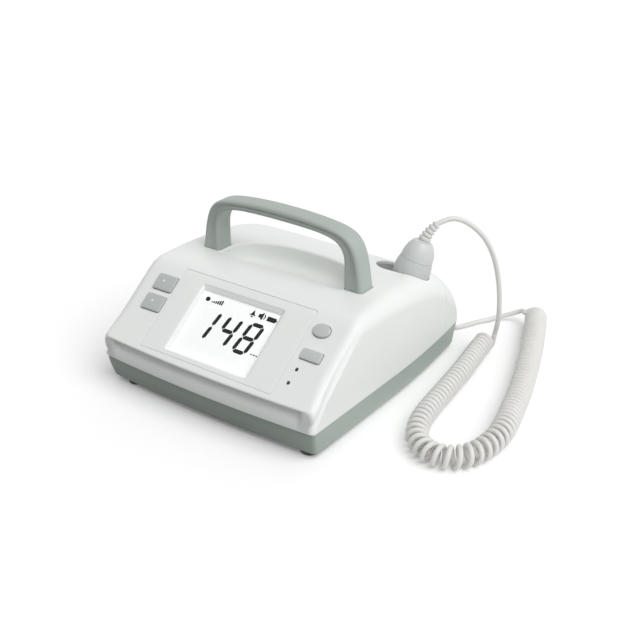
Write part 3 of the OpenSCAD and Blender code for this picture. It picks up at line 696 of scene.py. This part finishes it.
def rounded(w, l, r, long=20, short=12, corner=6):
    """Points anticlockwise round a rectangle of width w and length l with corners of radius r."""
    points = []
    for k, (cx, cy) in enumerate([(1, 1), (-1, 1), (-1, -1), (1, -1)]):
        cx, cy = cx * (w / 2 - r), cy * (l / 2 - r)
        for i in range(corner + 1):
            a = pi / 2 * (k + i / corner)
            points.append((cx + r * cos(a), cy + r * sin(a)))
        last, steps = points[-1], long if k % 2 == 0 else short
        nx, ny = [(-1, 1), (-1, -1), (1, -1), (1, 1)][k]
        nx, ny = nx * (w / 2 - r), ny * (l / 2 - r)
        goal = (nx, last[1]) if k % 2 == 0 else (last[0], ny)
        for i in range(1, steps):
            points.append((last[0] + (goal[0] - last[0]) * i / steps,
                           last[1] + (goal[1] - last[1]) * i / steps))
    return points


def oval(w, l, count=72):
    return [(w / 2 * cos(2 * pi * k / count), l / 2 * sin(2 * pi * k / count))
            for k in range(count)]


MOUTH = [(0, -0.7), (0.06, -0.38), (0.2, -0.14), (0.5, 0.0), (0.5, 7.0)]
UNDER_PANEL = -9               # a height that is below the panel's skin everywhere


def opening(at, outline_of, mouth=1.0):
    """A cutter down through the panel, with a rounded mouth that follows the crowned skin."""
    flat = [PANEL @ mm(at[0] + x, at[1] + s, UNDER_PANEL) for x, s in outline_of(0)]
    rings = [flat]
    for grow, h in MOUTH:
        ring = []
        for x, s in outline_of(grow * mouth):
            x, s = at[0] + x, at[1] + s
            ring.append(PANEL @ mm(x, s, skin_height(x, s) + h))
        rings.append(ring)
    return skinned(rings)


def skin_top(x, y):
    """Height of the outer skin over a point of the plan, with the rolled sides."""
    w, t, r = half_width(y), top_z(y), side_radius(y)
    over = max(0.0, abs(x) - (w - r))
    return t - r + sqrt(max(0.0, r * r - over * over))


WELL_R, WELL_SHIFT, WELL_ASIDE = 16.0, -14.2, -0.6


def stadium(r, steps=28):
    """The well's outline in the probe's own plane: two half rounds, one shifted to the middle."""
    u = Vector((cos(TURN), -sin(TURN), 0))
    v = Vector((-u.y, u.x, 0))
    half = [(cos(pi * (k / steps - 0.5)), sin(pi * (k / steps - 0.5)))
            for k in range(steps + 1)]
    right = [u * (WELL_ASIDE + r * c) + v * r * s for c, s in half]
    left = [u * (WELL_SHIFT - r * c) - v * r * s for c, s in half]
    return right + left


def well_cutter(mouth):
    """The probe well, whose mouth follows the skin that it cuts."""
    rings = [[PROBE @ ((p + Vector((0, 0, -34))) / 1000) for p in stadium(WELL_R)]]
    for grow, h in MOUTH:
        ring = []
        for p in stadium(WELL_R + grow * mouth):
            low, high = -40.0, 40.0
            for _ in range(24):
                d = (low + high) / 2
                q = PROBE @ ((p + Vector((0, 0, d))) / 1000) * 1000
                if q.z < skin_top(q.x, q.y + MID_Y):
                    low = d
                else:
                    high = d
            ring.append(PROBE @ ((p + Vector((0, 0, d + h * 1.3))) / 1000))
        rings.append(ring)
    return skinned(rings)


print("well mouth is", 2 * WELL_R, "by", 2 * WELL_R - WELL_SHIFT, "mm")

# %% [markdown]
# ## Upper housing
# The white shell has a bowl behind the handle for the fingers, seats for its legs, the panel's
# openings and the probe well. The bowl is D-shaped, with a rim that rolls over into the deck.

# %% Bowl and seats
RECESS_Y, RECESS_R, RIM = 96.0, (61.0, 45.0), 2.6
BOWL = spline([(-18, 0.64, 0), (-17.2, 0.79, 0), (-14, 0.91, 0), (-8, 0.97, 0), (-1, 1, 0),
               (6, 1.02, 0)], 4)       # height over the deck, and share of the full width


def recess_ring(z, k, g, follow=False, count=96):
    ring = []
    for i in range(count):
        a = 2 * pi * i / count
        c, s = cos(a), sin(a)
        q = 2.6 if s > 0 else 6
        m = (abs(c) ** q + abs(s) ** q) ** (-1 / q)
        x = (RECESS_R[0] * k + g) * m * c
        y = RECESS_Y + 8 * (1 - k) + (RECESS_R[1] * k + g if s > 0 else g + 0.5) * m * s
        ring.append(placed((x, y, z + (top_z(y) if follow else DECK_Z))))
    return ring


def recess_cutter():
    rings = [recess_ring(p[0], p[1], 0) for p in BOWL if p[0] < -3.2]
    for k in range(9):
        a = pi / 16 * k
        rings.append(recess_ring(-RIM * (1 - sin(a)), 0.993, RIM * (1 - cos(a)), True))
    rings.append(recess_ring(6, 0.993, RIM))
    return skinned(rings)


LEG_X, LEG_Y, HANDLE_D, FOOT_SEAT = (62.4, 79.8), 96.4, 17.6, 92.2
LEG_MID = sum(LEG_X) / 2


def seat_cutter(side, gap):
    centre = (side * LEG_MID, LEG_Y + HANDLE_D / 2)
    rings = []
    for grow, z in ((0, FOOT_SEAT), (0, 92.9), (0.12, 93.15), (0.4, DECK_Z), (0.4, 101)):
        wide, long = (size + 2 * (gap + grow) for size in (LEG_X[1] - LEG_X[0], HANDLE_D))
        rings.append([placed((centre[0] + x, centre[1] + y, z))
                      for x, y in rounded(wide, long, 3.3, 6, 6)])
    return skinned(rings)


def block(x0, x1, y0, y1, z0, z1):
    bm = bmesh.new()
    bmesh.ops.create_cube(bm, size=1)
    low, high = placed((x0, y0, z0)), placed((x1, y1, z1))
    bmesh.ops.scale(bm, vec=high - low, verts=bm.verts)
    bmesh.ops.translate(bm, vec=(low + high) / 2, verts=bm.verts)
    return bm


# %% Shell of the upper housing
BEZEL_S, BEZEL = 40.6, (131.0, 73.6)
SQUARE_AT = [(-75.8, 59.3), (-75.8, 40.4)]
SQUARE, GAP = (19.2, 14.0), 0.35
ROUND_AT, ROUND = (77.4, 63), (14.8, 11.2)
OBLONG_AT, OBLONG = (80.2, 41.8), (17.8, 8.6)
LED_AT, LED_R = [(74.6, 28.6), (73.9, 16.9)], 1.4
BOSSES = [(-91, 26), (91, 26), (-92, 120), (92, 120), (-60, 222), (20, 222)]


def tube(x, y, z, bore, r, height):
    """A short upright tube at a point of the body."""
    wall = [(bore, 0), (r, 0), (r, height), (bore, height), (bore, 0)]
    return moved(turned(wall, 24), stand(x, y, z))


def posts(which):
    """The screw posts under the shell, which end inside its skin."""
    low, r, skin = 21.6, 3.4, 1.2
    return [tube(x, y, low, 1.55, r, min(skin_top(abs(x) + r, y + k) for k in (-r, r)) - skin - low)
            for x, y in which]


def key_plan(w, l, g):
    return rounded(w, l, 1.7 + g, 4, 4)


def key_hole(at, size, plan=key_plan):
    """The cutter for a key's opening, with a gap all round the key."""
    return opening(at, lambda g: plan(size[0] + 2 * (GAP + g), size[1] + 2 * (GAP + g), g))


front = [0, .04, .12, .25, .42, .62, .85, 1.05, 1.2, 1.45, 1.75, 2.1, 2.5, 3.0]
front += [3.0 + 1.0 * k for k in range(1, 64)]
stations = end_eased(front + [68 + 3 * k for k in range(0, 42)], PARTING)
shell = form(stations, low=SHELL_LOW)
cavity = form([(y, WALL) for y in [6.5, 9] + [12 + 6 * k for k in range(31)] + [197]],
              low=BASE_TOP - 5, fine=False)
bowl = skinned([recess_ring(p[0] - WALL, p[1], WALL) for p in BOWL])
seats = [block(x - 10.7, x + 10.7, LEG_Y - 2, LEG_Y + HANDLE_D + 2, 87.2, 97)
         for x in (-LEG_MID, LEG_MID)]
cavity = cut(cavity, bowl, *seats)
tools = [cavity, recess_cutter(), well_cutter(1.6), seat_cutter(-1, 0.3), seat_cutter(1, 0.3)]
tools.append(opening((0, BEZEL_S), lambda g: rounded(BEZEL[0] + 0.24 + 2 * g,
                                                     BEZEL[1] + 0.24 + 2 * g, 2 + g), mouth=0.5))
tools += [key_hole(at, SQUARE) for at in SQUARE_AT]
tools += [key_hole(ROUND_AT, ROUND, lambda w, l, g: oval(w, l)), key_hole(OBLONG_AT, OBLONG)]
for x, s in LED_AT:
    hole = turned([(0, UNDER_PANEL), (LED_R + .1, UNDER_PANEL), (LED_R + .1, -.25),
                   (LED_R + .16, -.1), (LED_R + .28, 0), (LED_R + .28, 3), (0, 3)], 32)
    tools.append(moved(hole, on_panel(x, s, skin_height(x, s))))
shell = cut(shell, *tools)
upper = keep(joined(shell, *posts(BOSSES[:4])), "upper_shell", "housing", white_abs, "upper_housing")

# %% [markdown]
# ## Rear cover
# The back is a separate white moulding. Its edge stands four tenths of a millimetre off the upper
# housing, so a fine dark line runs over the body where they meet.

# %% Rear cover
SOCKET_Z, SOCKET_X, INLET_X = 23.0, 46.0, 8.0
BACKWARD = Matrix.Rotation(-pi / 2, 4, "X")


def socket_hole(x, r):
    return moved(turned([(0, 0), (r, 0), (r, 22), (0, 22)], 48), stand(x, 226, SOCKET_Z) @ BACKWARD)


falling = [(PARTING, .6), (PARTING + .06, .4), (PARTING + .2, .22), (PARTING + .45, .15)]
falling += [(PARTING + 1 + 20 * k / 10, .15) for k in range(11)]
falling += [(214 + 20 * sin(pi / 2 * k / 28), .15) for k in range(1, 29)]
cover = form(falling, low=SHELL_LOW, shift=0.4)
inner = form([(y, WALL) for y in (192, 200, 207, 213, 219, 225, 229, 231)],
             low=BASE_TOP - 5, fine=False)
cover = cut(cover, inner, socket_hole(SOCKET_X, 7.7), socket_hole(INLET_X, 4.8), well_cutter(1.6))
rear = keep(joined(cover, *posts(BOSSES[4:])), "rear_shell", "housing", white_abs, "rear_cover")

# %% [markdown]
# ## Base tray
# A grey tray closes the body from below. Its walls lean in towards the table, most at the front.
# Rings of its plan, stacked from the table up, give the lean, the rounded foot and the joint.

# %% Base tray
FOOT_H, FLOOR = 3.5, 6.0
TRAY_SHADOW = 1.8              # how far its front stands back under the shell
PLAN_Y = [0, .1, .25, .5, .8, 1.2, 1.7, 2.3, 3] + [3 + 12 * k for k in range(1, 18)]
PLAN_Y += [214 + 20 * sin(pi / 2 * k / 16) for k in range(17)]


def tray_ring(z, g):
    lean_in = (BASE_TOP - z) / (BASE_TOP - FOOT_H)
    side = [(half_width(y), y + bow(half_width(y), y)) for y in PLAN_Y]
    back = [(half_width(SIDE_LEN) * (1 - i / 12), SIDE_LEN) for i in range(1, 24)]
    front_row = [(-102 * (1 - i / 16), 0) for i in range(1, 32)]
    plan = side + [(x, y + bow(x, y)) for x, y in back] + [(-x, y) for x, y in reversed(side)]
    plan += [(x, y + bow(x, y)) for x, y in front_row]
    sx = (BODY_W / 2 - 2.6 * lean_in - g) / (BODY_W / 2)
    y0 = -4 + TRAY_SHADOW + 5.2 * max(0.0, lean_in) ** 1.7 + g
    sy = (238 - 3 * lean_in - g - y0) / 242
    return [placed((x * sx, y0 + (y + 4) * sy, z)) for x, y in plan]


levels = [(FOOT_H, 1.6), (FOOT_H + .25, 1.0), (FOOT_H + .8, .5), (FOOT_H + 1.5, .15), (FOOT_H + 2.4, 0)]
levels += [(8 + 2 * k, 0) for k in range(8)]
levels += [(BASE_TOP - .5, 0), (BASE_TOP - .15, .12), (BASE_TOP, .4)]
tray = skinned([tray_ring(z, g) for z, g in levels])
hollow = skinned([tray_ring(FLOOR, WALL + 1), tray_ring(FLOOR + 1, WALL), tray_ring(BASE_TOP + 1, WALL)])
DOOR_AT, DOOR = (-45, 165), (74.0, 54.0)
tools = [hollow, moved(slab((DOOR[0] + .6, DOOR[1] + .6, 10), 3, 0), stand(*DOOR_AT, FOOT_H - 1))]
SCREW_HOLE = [(0, 2), (3.2, 2), (3.2, 7.5), (1.7, 7.5), (1.7, 30), (0, 30)]
tools += [moved(turned(SCREW_HOLE, 32), stand(x, y, 0)) for x, y in BOSSES]
tools += [moved(slab((2, 11, 6), 0.9, 0, -3), stand(62 + 5 * a, 92 + 14 * b, FOOT_H + 0.5))
          for a in range(-2, 3) for b in (-1, 0, 1)]
tools += [socket_hole(SOCKET_X, 7.7), socket_hole(INLET_X, 4.8)]
tray = cut(tray, *tools)
pillars = [tube(x, y, FLOOR + .05, 1.7, 4, 15.4) for x, y in BOSSES]
pillars += [moved(turned([(0, 0), (3, 0), (3, 21.9), (0, 21.9)], 24),
                  stand(-28 + 52 * i, 78 + 44 * j, FLOOR + .05)) for i in (-1, 1) for j in (-1, 1)]
base = keep(joined(tray, *pillars), "base_tray_shell", "housing", grey_abs, "base_tray")

door = slab((DOOR[0], DOOR[1], 2.5), 3, 0)
door = joined(door, slab((DOOR[0] - 6, DOOR[1] - 6, 0.9), 2, 0, 2.55))
for k in range(7):
    rib = slab((16, 0.9, 0.35), 0.4, 0)
    door = joined(door, moved(rib, Matrix.Translation(mm(24, -9 + 3 * k, -0.3))))
battery_door = keep(moved(door, stand(*DOOR_AT, FOOT_H)), "battery_door_plate", "housing", grey_abs,
                    "battery_door")

FOOT = [(0, .3), (4.6, .3), (5, 0), (6.4, 0), (6.8, .2), (7.0, .7), (7.3, FOOT_H), (0, FOOT_H)]
feet = joined(*[moved(turned(FOOT, 48), stand(x, y, 0))
                for x, y in [(-85, 14.5), (91, 14.5), (-84, 214), (84, 214)]])
keep(feet, "foot_pads", "housing", rubber, "rubber_feet")

# %% [markdown]
# ## Carrying handle
# A broad strap of grey ABS stands on the deck. Its legs are thicker at the foot, its edges are
# rounded and its front face is slightly hollow, so the edges show as soft light lines. One
# rounded section is swept along the strap, and its front side is pressed in.

# %% Handle
STRAP = [((79.8, 92.25), (62.4, 92.25)), ((78.6, 100), (62.4, 99)), ((77.4, 108), (62.4, 107)),
         ((75.8, 116), (62.3, 114.5)), ((73.6, 123.5), (61.4, 120.5)), ((70.2, 130), (58.4, 126)),
         ((65.6, 134.6), (54.2, 129.4)), ((59.5, 137.6), (49, 131.3)), ((50, 139.9), (42, 132.6)),
         ((36, 141.6), (32, 133.4)), ((18, 142.7), (16, 133.9)), ((0, 143), (0, 134))]


def mirrored(half):
    return half + [(-x, z) for x, z in reversed(half[:-1])]


outer_line = spline([(x, z, 0) for x, z in mirrored([o for o, i in STRAP])], 4)
inner_line = spline([(x, z, 0) for x, z in mirrored([i for o, i in STRAP])], 4)


def strap_ring(o, i, r=3.2):
    thick = (o - i).length
    e = (o - i) / thick
    ring = []
    for k, (qu, qv) in enumerate([(1, 1), (1, 0), (0, 0), (0, 1)]):
        cu, cv = thick - r if qu else r, HANDLE_D - r if qv else r
        for j in range(8):
            a = pi / 2 * (k + j / 7)
            ring.append((cu + r * sin(a), cv + r * cos(a)))
        if k == 1:
            for j in range(1, 10):
                f = j / 10
                ring.append((thick - r + (2 * r - thick) * f, 0.9 * sin(pi * f) ** 0.8))
    return [placed((i.x + e.x * u, LEG_Y + v, i.y + e.y * u)) for u, v in ring]


strap = skinned([strap_ring(o, i) for o, i in zip(outer_line, inner_line)])
handle = keep(strap, "handle_strap", "housing", handle_abs, "handle", angle=50)

# %% [markdown]
# ## Display
# The bezel fills most of the panel and follows its crown. A sloping band leads down to a clear
# window, under which lies the bright liquid crystal panel with its black figures.

# %% Bezel
SCREEN_AT, SCREEN = (-1.2, 37.7), (77.2, 56.7)
SCREEN_H, WINDOW_T = -1.8, 0.8
LCD_H = SCREEN_H - WINDOW_T - 0.4


def bezel_ring(centre, w, l, r, h, follow):
    ring = []
    for x, s in rounded(w, l, r, 30, 18, 6):
        x, s = centre[0] + x, centre[1] + s
        ring.append(PANEL @ mm(x, s, h + (skin_height(x, s) if follow else 0)))
    return ring


def bezel_rings():
    mid, hole = (0, BEZEL_S), SCREEN_AT
    lip = (hole[0] + 0.2, hole[1] + 0.9)
    rings = [bezel_ring(mid, BEZEL[0] - cut_back, BEZEL[1] - cut_back, 2, h, False)
             for cut_back, h in ((3, -4.6), (3, -2.6), (0, -2.6))]
    for g, h in ((0, -.5), (.03, -.25), (.1, -.1), (.22, -.03), (.4, 0)):
        rings.append(bezel_ring(mid, BEZEL[0] - 2 * g, BEZEL[1] - 2 * g, 2, h - 0.1, True))
    w, l = SCREEN[0] + 4.4, SCREEN[1] + 5.8
    for k in range(1, 8):
        f = k / 8
        at = (lip[0] * f, BEZEL_S + (lip[1] - BEZEL_S) * f)
        rings.append(bezel_ring(at, BEZEL[0] + (w - BEZEL[0]) * f, BEZEL[1] + (l - BEZEL[1]) * f,
                                2, -0.1, True))
    for g, h in ((0, -.1), (.12, -.14), (.25, -.25), (.36, -.42)):
        rings.append(bezel_ring(lip, w - 2 * g, l - 2 * g, 2, h, True))
    rings += [bezel_ring(hole, SCREEN[0] + wider, SCREEN[1] + wider, 1, h, False)
              for wider, h in ((0, SCREEN_H), (0, -2.95), (6.4, -2.95), (6.4, -4.6))]
    return rings + rings[:1]


bezel = keep(skinned(bezel_rings(), ends=False), "bezel_frame", "housing", bezel_abs,
             "display_bezel", angle=30)

window = moved(slab((SCREEN[0] - .2, SCREEN[1] - .2, WINDOW_T), .9, .15),
               on_panel(*SCREEN_AT, SCREEN_H - WINDOW_T))
keep(window, "window_sheet", "housing", clear_acrylic, "display_window")
panel = moved(slab((SCREEN[0] + 6, SCREEN[1] + 6, 2.2), 1, .1), on_panel(*SCREEN_AT, LCD_H - 2.2))
keep(panel, "display_face", "housing", lcd_face, "lcd_panel")

# %% [markdown]
# Seven-segment figures are sheared bars with pointed ends. Each bar is a face from six corners,
# pushed up a little, and each figure is the set of bars that its number lights. Small generic
# signs stand above them.

# %% Figures and signs
DIGIT, STROKE, SHEAR, DIGIT_S = (14.5, 28.2), 3.3, tan(radians(9.6)), 39.4
SEGMENTS = {1: (2, 5), 4: (1, 2, 3, 5), 8: (0, 1, 2, 3, 4, 5, 6)}


def raised(corners, height=0.12):
    """A flat shape from its corners, pushed up by height."""
    bm = bmesh.new()
    face = bm.faces.new([bm.verts.new((x / 1000, y / 1000, 0)) for x, y in corners])
    top = bmesh.ops.extrude_face_region(bm, geom=[face])
    verts = [v for v in top["geom"] if isinstance(v, bmesh.types.BMVert)]
    bmesh.ops.translate(bm, vec=(0, 0, height / 1000), verts=verts)
    return tidy(bm)


def digit(number):
    across, half, t = DIGIT[0] - STROKE, (DIGIT[1] - STROKE) / 2, STROKE / 2
    spots = [(0, half, 0), (-across / 2, half / 2, 1), (across / 2, half / 2, 1), (0, 0, 0),
             (-across / 2, -half / 2, 1), (across / 2, -half / 2, 1), (0, -half, 0)]
    bars = []
    for k in SEGMENTS[number]:
        x, y, up = spots[k]
        n = ((half if up else across) - 0.8) / 2
        bar = [(-n, 0), (-n + t, t), (n - t, t), (n, 0), (n - t, -t), (-n + t, -t)]
        bar = [(-b, a) for a, b in bar] if up else bar
        bars.append(raised([(x + a + SHEAR * (y + b), y + b) for a, b in bar]))
    return joined(*bars)


figures = joined(*[moved(digit(n), on_panel(x, DIGIT_S, LCD_H + 0.01))
                   for x, n in ((-21.3, 1), (-0.2, 4), (20.4, 8))])


def ringed(x, y, r, thick, steps, start, sweep):
    """Part of a round band, as a row of short bars. start and sweep are shares of a turn."""
    bars = []
    for k in range(steps):
        a, b = (2 * pi * (start + sweep * (k + j) / steps) for j in (0, 1))
        ring = [(r - thick / 2, a), (r + thick / 2, a), (r + thick / 2, b), (r - thick / 2, b)]
        bars.append(raised([(x + q * cos(c), y + q * sin(c)) for q, c in ring]))
    return joined(*bars)


def bar(x, y, w, l):
    return raised([(x, y), (x + w, y), (x + w, y + l), (x, y + l)])


signs = [raised([(x - 32.7, y + 59.5) for x, y in oval(4.4, 3.96, 20)])]
signs += [bar(-28.4 + 1.9 * k, 57.8, 1.35, 0.9 + 0.62 * k) for k in range(6)]
signs += [raised([(9.6, 58.4), (11.4, 59.8), (12.8, 63.2), (14.2, 59.8), (16, 58.4)]),
          bar(11.7, 56.9, 2.2, 0.9)]
signs += [raised([(18.2, 58.6), (20, 58.6), (22.4, 56.6), (22.4, 63.6), (20, 61.6), (18.2, 61.6)]),
          ringed(21.9, 60.1, 2.4, 0.9, 8, -0.14, 0.28)]
signs += [bar(26.6, 57.8, 8.2, 3.9), bar(34.9, 59.0, 0.9, 1.5)]
signs += [bar(29.2 + 2.5 * k, 28.2, 1.7, 0.8) for k in range(3)]
figures = joined(figures, moved(joined(*signs), on_panel(0, 0, LCD_H + 0.01)))
keep(figures, "figures_and_signs", "housing", ink, "lcd_digits")

# %% [markdown]
# ## Buttons
# Four silicone-feel keys stand two millimetres proud. Each is a block with rounded corners and a
# rounded upper edge on a wider skirt that the shell holds down. They travel 1.2 mm, so each rides
# on its own body.

# %% Buttons
SKIRT_H, CAP_LOW, UP = -5.0, -3.4, 2.0


def key_cap(size, cap=None):
    """A key on its skirt: a block with rounded corners, unless another cap is given."""
    cap = cap or slab((*size, UP - CAP_LOW), 1.5, 0.7, CAP_LOW)
    return joined(cap, slab((size[0] + 2.4, size[1] + 2.4, 1.55), 1.5, 0.2, SKIRT_H))


DOT = Matrix.Translation(mm(-1.6, 1.2, UP))
for side, spot in zip(("upper", "lower"), SQUARE_AT):
    at, body = on_panel(*spot), side + "_key"
    socket = moved(turned([(0, -.8), (1.2, -.8), (1.2, 1), (0, 1)], 32), DOT)
    cap = moved(cut(key_cap(SQUARE), socket), at)
    keep(cap, side + "_square_key", body, button_rubber, side + "_square_button")
    dot = moved(turned([(0, -.8), (1.14, -.8), (1.14, -.05), (1.0, .06), (0, .1)], 32), at @ DOT)
    keep(dot, body + "_dot", body, dot_paint, side + "_button_dot")
round_cap = key_cap(ROUND, drum(ROUND, UP - CAP_LOW, 0.8, CAP_LOW))
for name, cap, spot in (("round", round_cap, ROUND_AT), ("oblong", key_cap(OBLONG), OBLONG_AT)):
    keep(moved(cap, on_panel(*spot)), name + "_key_cap", name + "_key", pale_button,
                 name + "_button")

LAMP = [(0, -10.2), (1.4, -10.2), (1.4, -.5), (1.3, -.2), (.95, .08), (.5, .2), (0, .24)]
lamps = joined(*[moved(turned(LAMP, 32), on_panel(x, s, skin_height(x, s) - 0.25))
                 for x, s in LED_AT])
keep(lamps, "status_lamps", "housing", led_epoxy, "indicator_leds")

# %% [markdown]
# ## Probe
# The probe stands in its well, leaning back to the right. All its parts are turned: a grip, a cap
# with a groove between them, the transducer's face at the lower end, and a ribbed boot for the
# cord. It lifts out along its own axis, so it rides on its own body.

# %% Probe
def rounded_profile(points, radius=0.5, steps=4):
    """Rounds the corners of an open profile by short arcs."""
    p = [Vector((a, b)) for a, b in points]
    out = [p[0]]
    for a, b, c in zip(p, p[1:], p[2:]):
        r = min(radius, (a - b).length * 0.45, (c - b).length * 0.45)
        start, end = b + (a - b).normalized() * r, b + (c - b).normalized() * r
        out += [(1 - t) ** 2 * start + 2 * t * (1 - t) * b + t * t * end
                for t in (k / steps for k in range(steps + 1))]
    return [(q.x, q.y) for q in out + [p[-1]]]


def probe_part(profile, radius, name, material, node):
    part = moved(turned(rounded_profile(profile, radius), 96), PROBE)
    return keep(part, name, "probe", material, node)


grip = [(0, -41.95), (14.55, -41.95), (15.2, -34), (15.2, -14), (15, 0), (14.3, 3.6), (13.6, 6.2),
        (13.3, 6.97), (0, 6.97)]
probe_part(grip, 0.6, "probe_body", probe_abs, "probe_grip")
cap = [(0, 7.03), (13.2, 7.03), (13.35, 7.4), (13.2, 8.6), (12.8, 12), (11.8, 15.4), (10.6, 18.2),
       (9.1, 20.6), (8.4, 21.6), (7.4, 22.45), (0, 22.45)]
# The cap's paler finish is a painted highlight, not a different plastic.
probe_part(cap, 0.8, "probe_top", cap_abs_painted_highlight, "probe_cap")
face = [(0, -52.2), (9, -52.2), (13.2, -51.5), (15.0, -49.9), (15.3, -47.9), (15.2, -43.4),
        (14.6, -42.05), (0, -42.05)]
probe_part(face, 0.8, "probe_face_shell", boot_pvc, "probe_head")


def ribbed(length, base, end, ribs):
    profile = [(0, 0.02), (base, 0.02)]
    for k in range(ribs):
        d, r = length * (k + 0.1) / ribs, base + (end - base) * (k + 0.5) / ribs
        profile += [(r - 1.1, d + .5), (r - 1.1, d + 1.1), (r, d + 1.4), (r, d + 3.2)]
    return rounded_profile(profile + [(end - .4, length), (CORD_D / 2 + .15, length), (0, length)], 0.35)


boot = turned(ribbed(BOOT_LEN, 5.3, 3.3, 5), 48)
for v in boot.verts:
    turn, out = v.co.z * 1000 / BOOT_R, BOOT_R / 1000 - v.co.x
    v.co.x, v.co.z = BOOT_R / 1000 - out * cos(turn), out * sin(turn)
boot = moved(boot, PROBE @ Matrix.Translation((0, 0, CAP_TOP / 1000)))
boot = keep(boot, "probe_strain_relief", "probe", boot_pvc, "probe_boot")

# %% [markdown]
# ## Plug
# The cord ends in a round moulded plug in the socket on the back, with a tapered, grooved boot.

# %% Plug
def at_rear(y):
    return stand(SOCKET.x, SOCKET.y + y, SOCKET.z) @ BACKWARD


plug = [(0, 0), (5.5, 0), (5.5, 8), (7, 8), (7, 12), (6.7, 12.4), (6.7, 13.2), (7, 13.6), (7, 15.2),
        (6.7, 15.6), (6.7, 16.4), (7, 16.8), (7, 21.9), (0, 21.9)]
plug = moved(turned(rounded_profile(plug, 0.5), 64), at_rear(-7.9))
plug = keep(plug, "plug_body", "housing", boot_pvc, "probe_plug")
tail_boot = [(0, .05), (4.6, .05), (4.4, 1.2), (3.8, 1.7), (3.8, 2.6), (4.1, 3.1), (4.0, 3.6),
             (3.4, 4.0), (3.4, 4.9), (3.8, 5.4), (3.7, 5.9), (3.1, 6.3), (3.1, 7.2), (3.4, 7.7),
             (3.0, 9.9), (0, 9.9)]
tail_boot = moved(turned(rounded_profile(tail_boot, 0.3), 48), at_rear(14.1))
tail_boot = keep(tail_boot, "plug_strain_relief", "housing", boot_pvc, "plug_boot")

# %% [markdown]
# ## Pieces kept from the CAD model
# Boards, cells, speaker, screws, sockets and the well's lining are right as they are, and mostly
# hidden, so their own meshes stay and only get a finish.

# %% CAD nodes
KEPT = {"lcd_backlight": light_guide, "panel_board": green_board, "tactile_switches": black_abs,
        "main_board": green_board, "board_parts": black_abs, "speaker": speaker_steel,
        "battery_pack": cell_film, "probe_holder": holder_abs, "housing_screws": zinc_steel,
        "handle_screws": zinc_steel, "probe_socket": black_abs, "dc_inlet": black_abs}
for name, material in KEPT.items():
    for spot in nodes[name].material_slots:
        spot.material = material
print("kept from the CAD model:", len(KEPT), "nodes")

# %% [markdown]
# ## Studio
# The object stands on a white sweep. The camera, mirrors and glass see white paper all round, but
# the light that bounces off it is that of a sweep with a dark cloth in front, because in the
# photograph the front below the crease is much darker than the side. A soft light as wide as a
# window stands high on the right, and a dim room fills the rest. Both are even, so the paper is
# the same white from edge to edge.

# %% Floor and lights
def direct_view(tree):
    """1 for rays from the camera, from a mirror or through glass, and 0 for light that spreads."""
    rays = add(tree, "ShaderNodeLightPath").outputs
    seen = rays["Is Camera Ray"]
    for ray in ("Is Glossy Ray", "Is Transmission Ray"):
        seen = add(tree, "ShaderNodeMath", {0: seen, 1: rays[ray]}, operation="MAXIMUM").outputs[0]
    return seen


def sweep_paper(tree, shader):
    seen = direct_view(tree)
    place = add(tree, "ShaderNodeTexCoord").outputs["Object"]
    paper = drifting(tree, place, "#FAFAFA", "#FCFCFC", 80)
    spot = add(tree, "ShaderNodeSeparateXYZ", {"Vector": place}).outputs
    beside = add(tree, "ShaderNodeMath", {0: spot["X"], 1: spot["Y"]}, operation="ADD")
    beside = add(tree, "ShaderNodeMapRange", {"Value": beside.outputs[0]},
                 interpolation_type="SMOOTHSTEP", From_Min=-0.12, From_Max=0.12)
    cloth = add(tree, "ShaderNodeMix", {"Factor": beside.outputs["Result"]}, data_type="RGBA",
                A=linear("#404040"), B=linear("#F6F6F6"))
    mix = add(tree, "ShaderNodeMix", {"Factor": seen, "A": cloth.outputs["Result"], "B": paper},
              data_type="RGBA")
    tree.links.new(mix.outputs["Result"], shader.inputs["Base Color"])
    glow = add(tree, "ShaderNodeMapRange", {"Value": seen}, To_Max=0.11)
    tree.links.new(glow.outputs["Result"], shader.inputs["Emission Strength"])
    put(shader, Emission_Color=linear("#FFFFFF"), Roughness=0.9, Specular_IOR_Level=0.1)


floor_bm = bmesh.new()
bmesh.ops.create_grid(floor_bm, x_segments=4, y_segments=4, size=6)
floor = keep(floor_bm, "studio_floor", None, finish("white_paper_sweep", sweep_paper))

world = bpy.data.worlds.new("studio_air")
bpy.context.scene.world = world
world.use_nodes = True
sky = world.node_tree.nodes["Background"]
level = add(world.node_tree, "ShaderNodeMapRange", {"Value": direct_view(world.node_tree)},
            To_Min=0.48, To_Max=1.0)
world.node_tree.links.new(level.outputs["Result"], sky.inputs["Strength"])
sky.inputs["Color"].default_value = linear("#FFFFFF")


def window_light(name, towards, wide, strength):
    """An even light from one side, as wide as this angle in degrees."""
    lamp = bpy.data.objects.new(name, bpy.data.lights.new(name, "SUN"))
    lamp.data.angle = radians(wide)
    lamp.data.energy = strength
    lamp.rotation_euler = Vector(towards).to_track_quat("Z", "Y").to_euler()
    bpy.context.scene.collection.objects.link(lamp)


window_light("key_window", (0.32, -0.05, 0.46), 50, 1.77)
bpy.context.scene.view_settings.view_transform = "Standard"
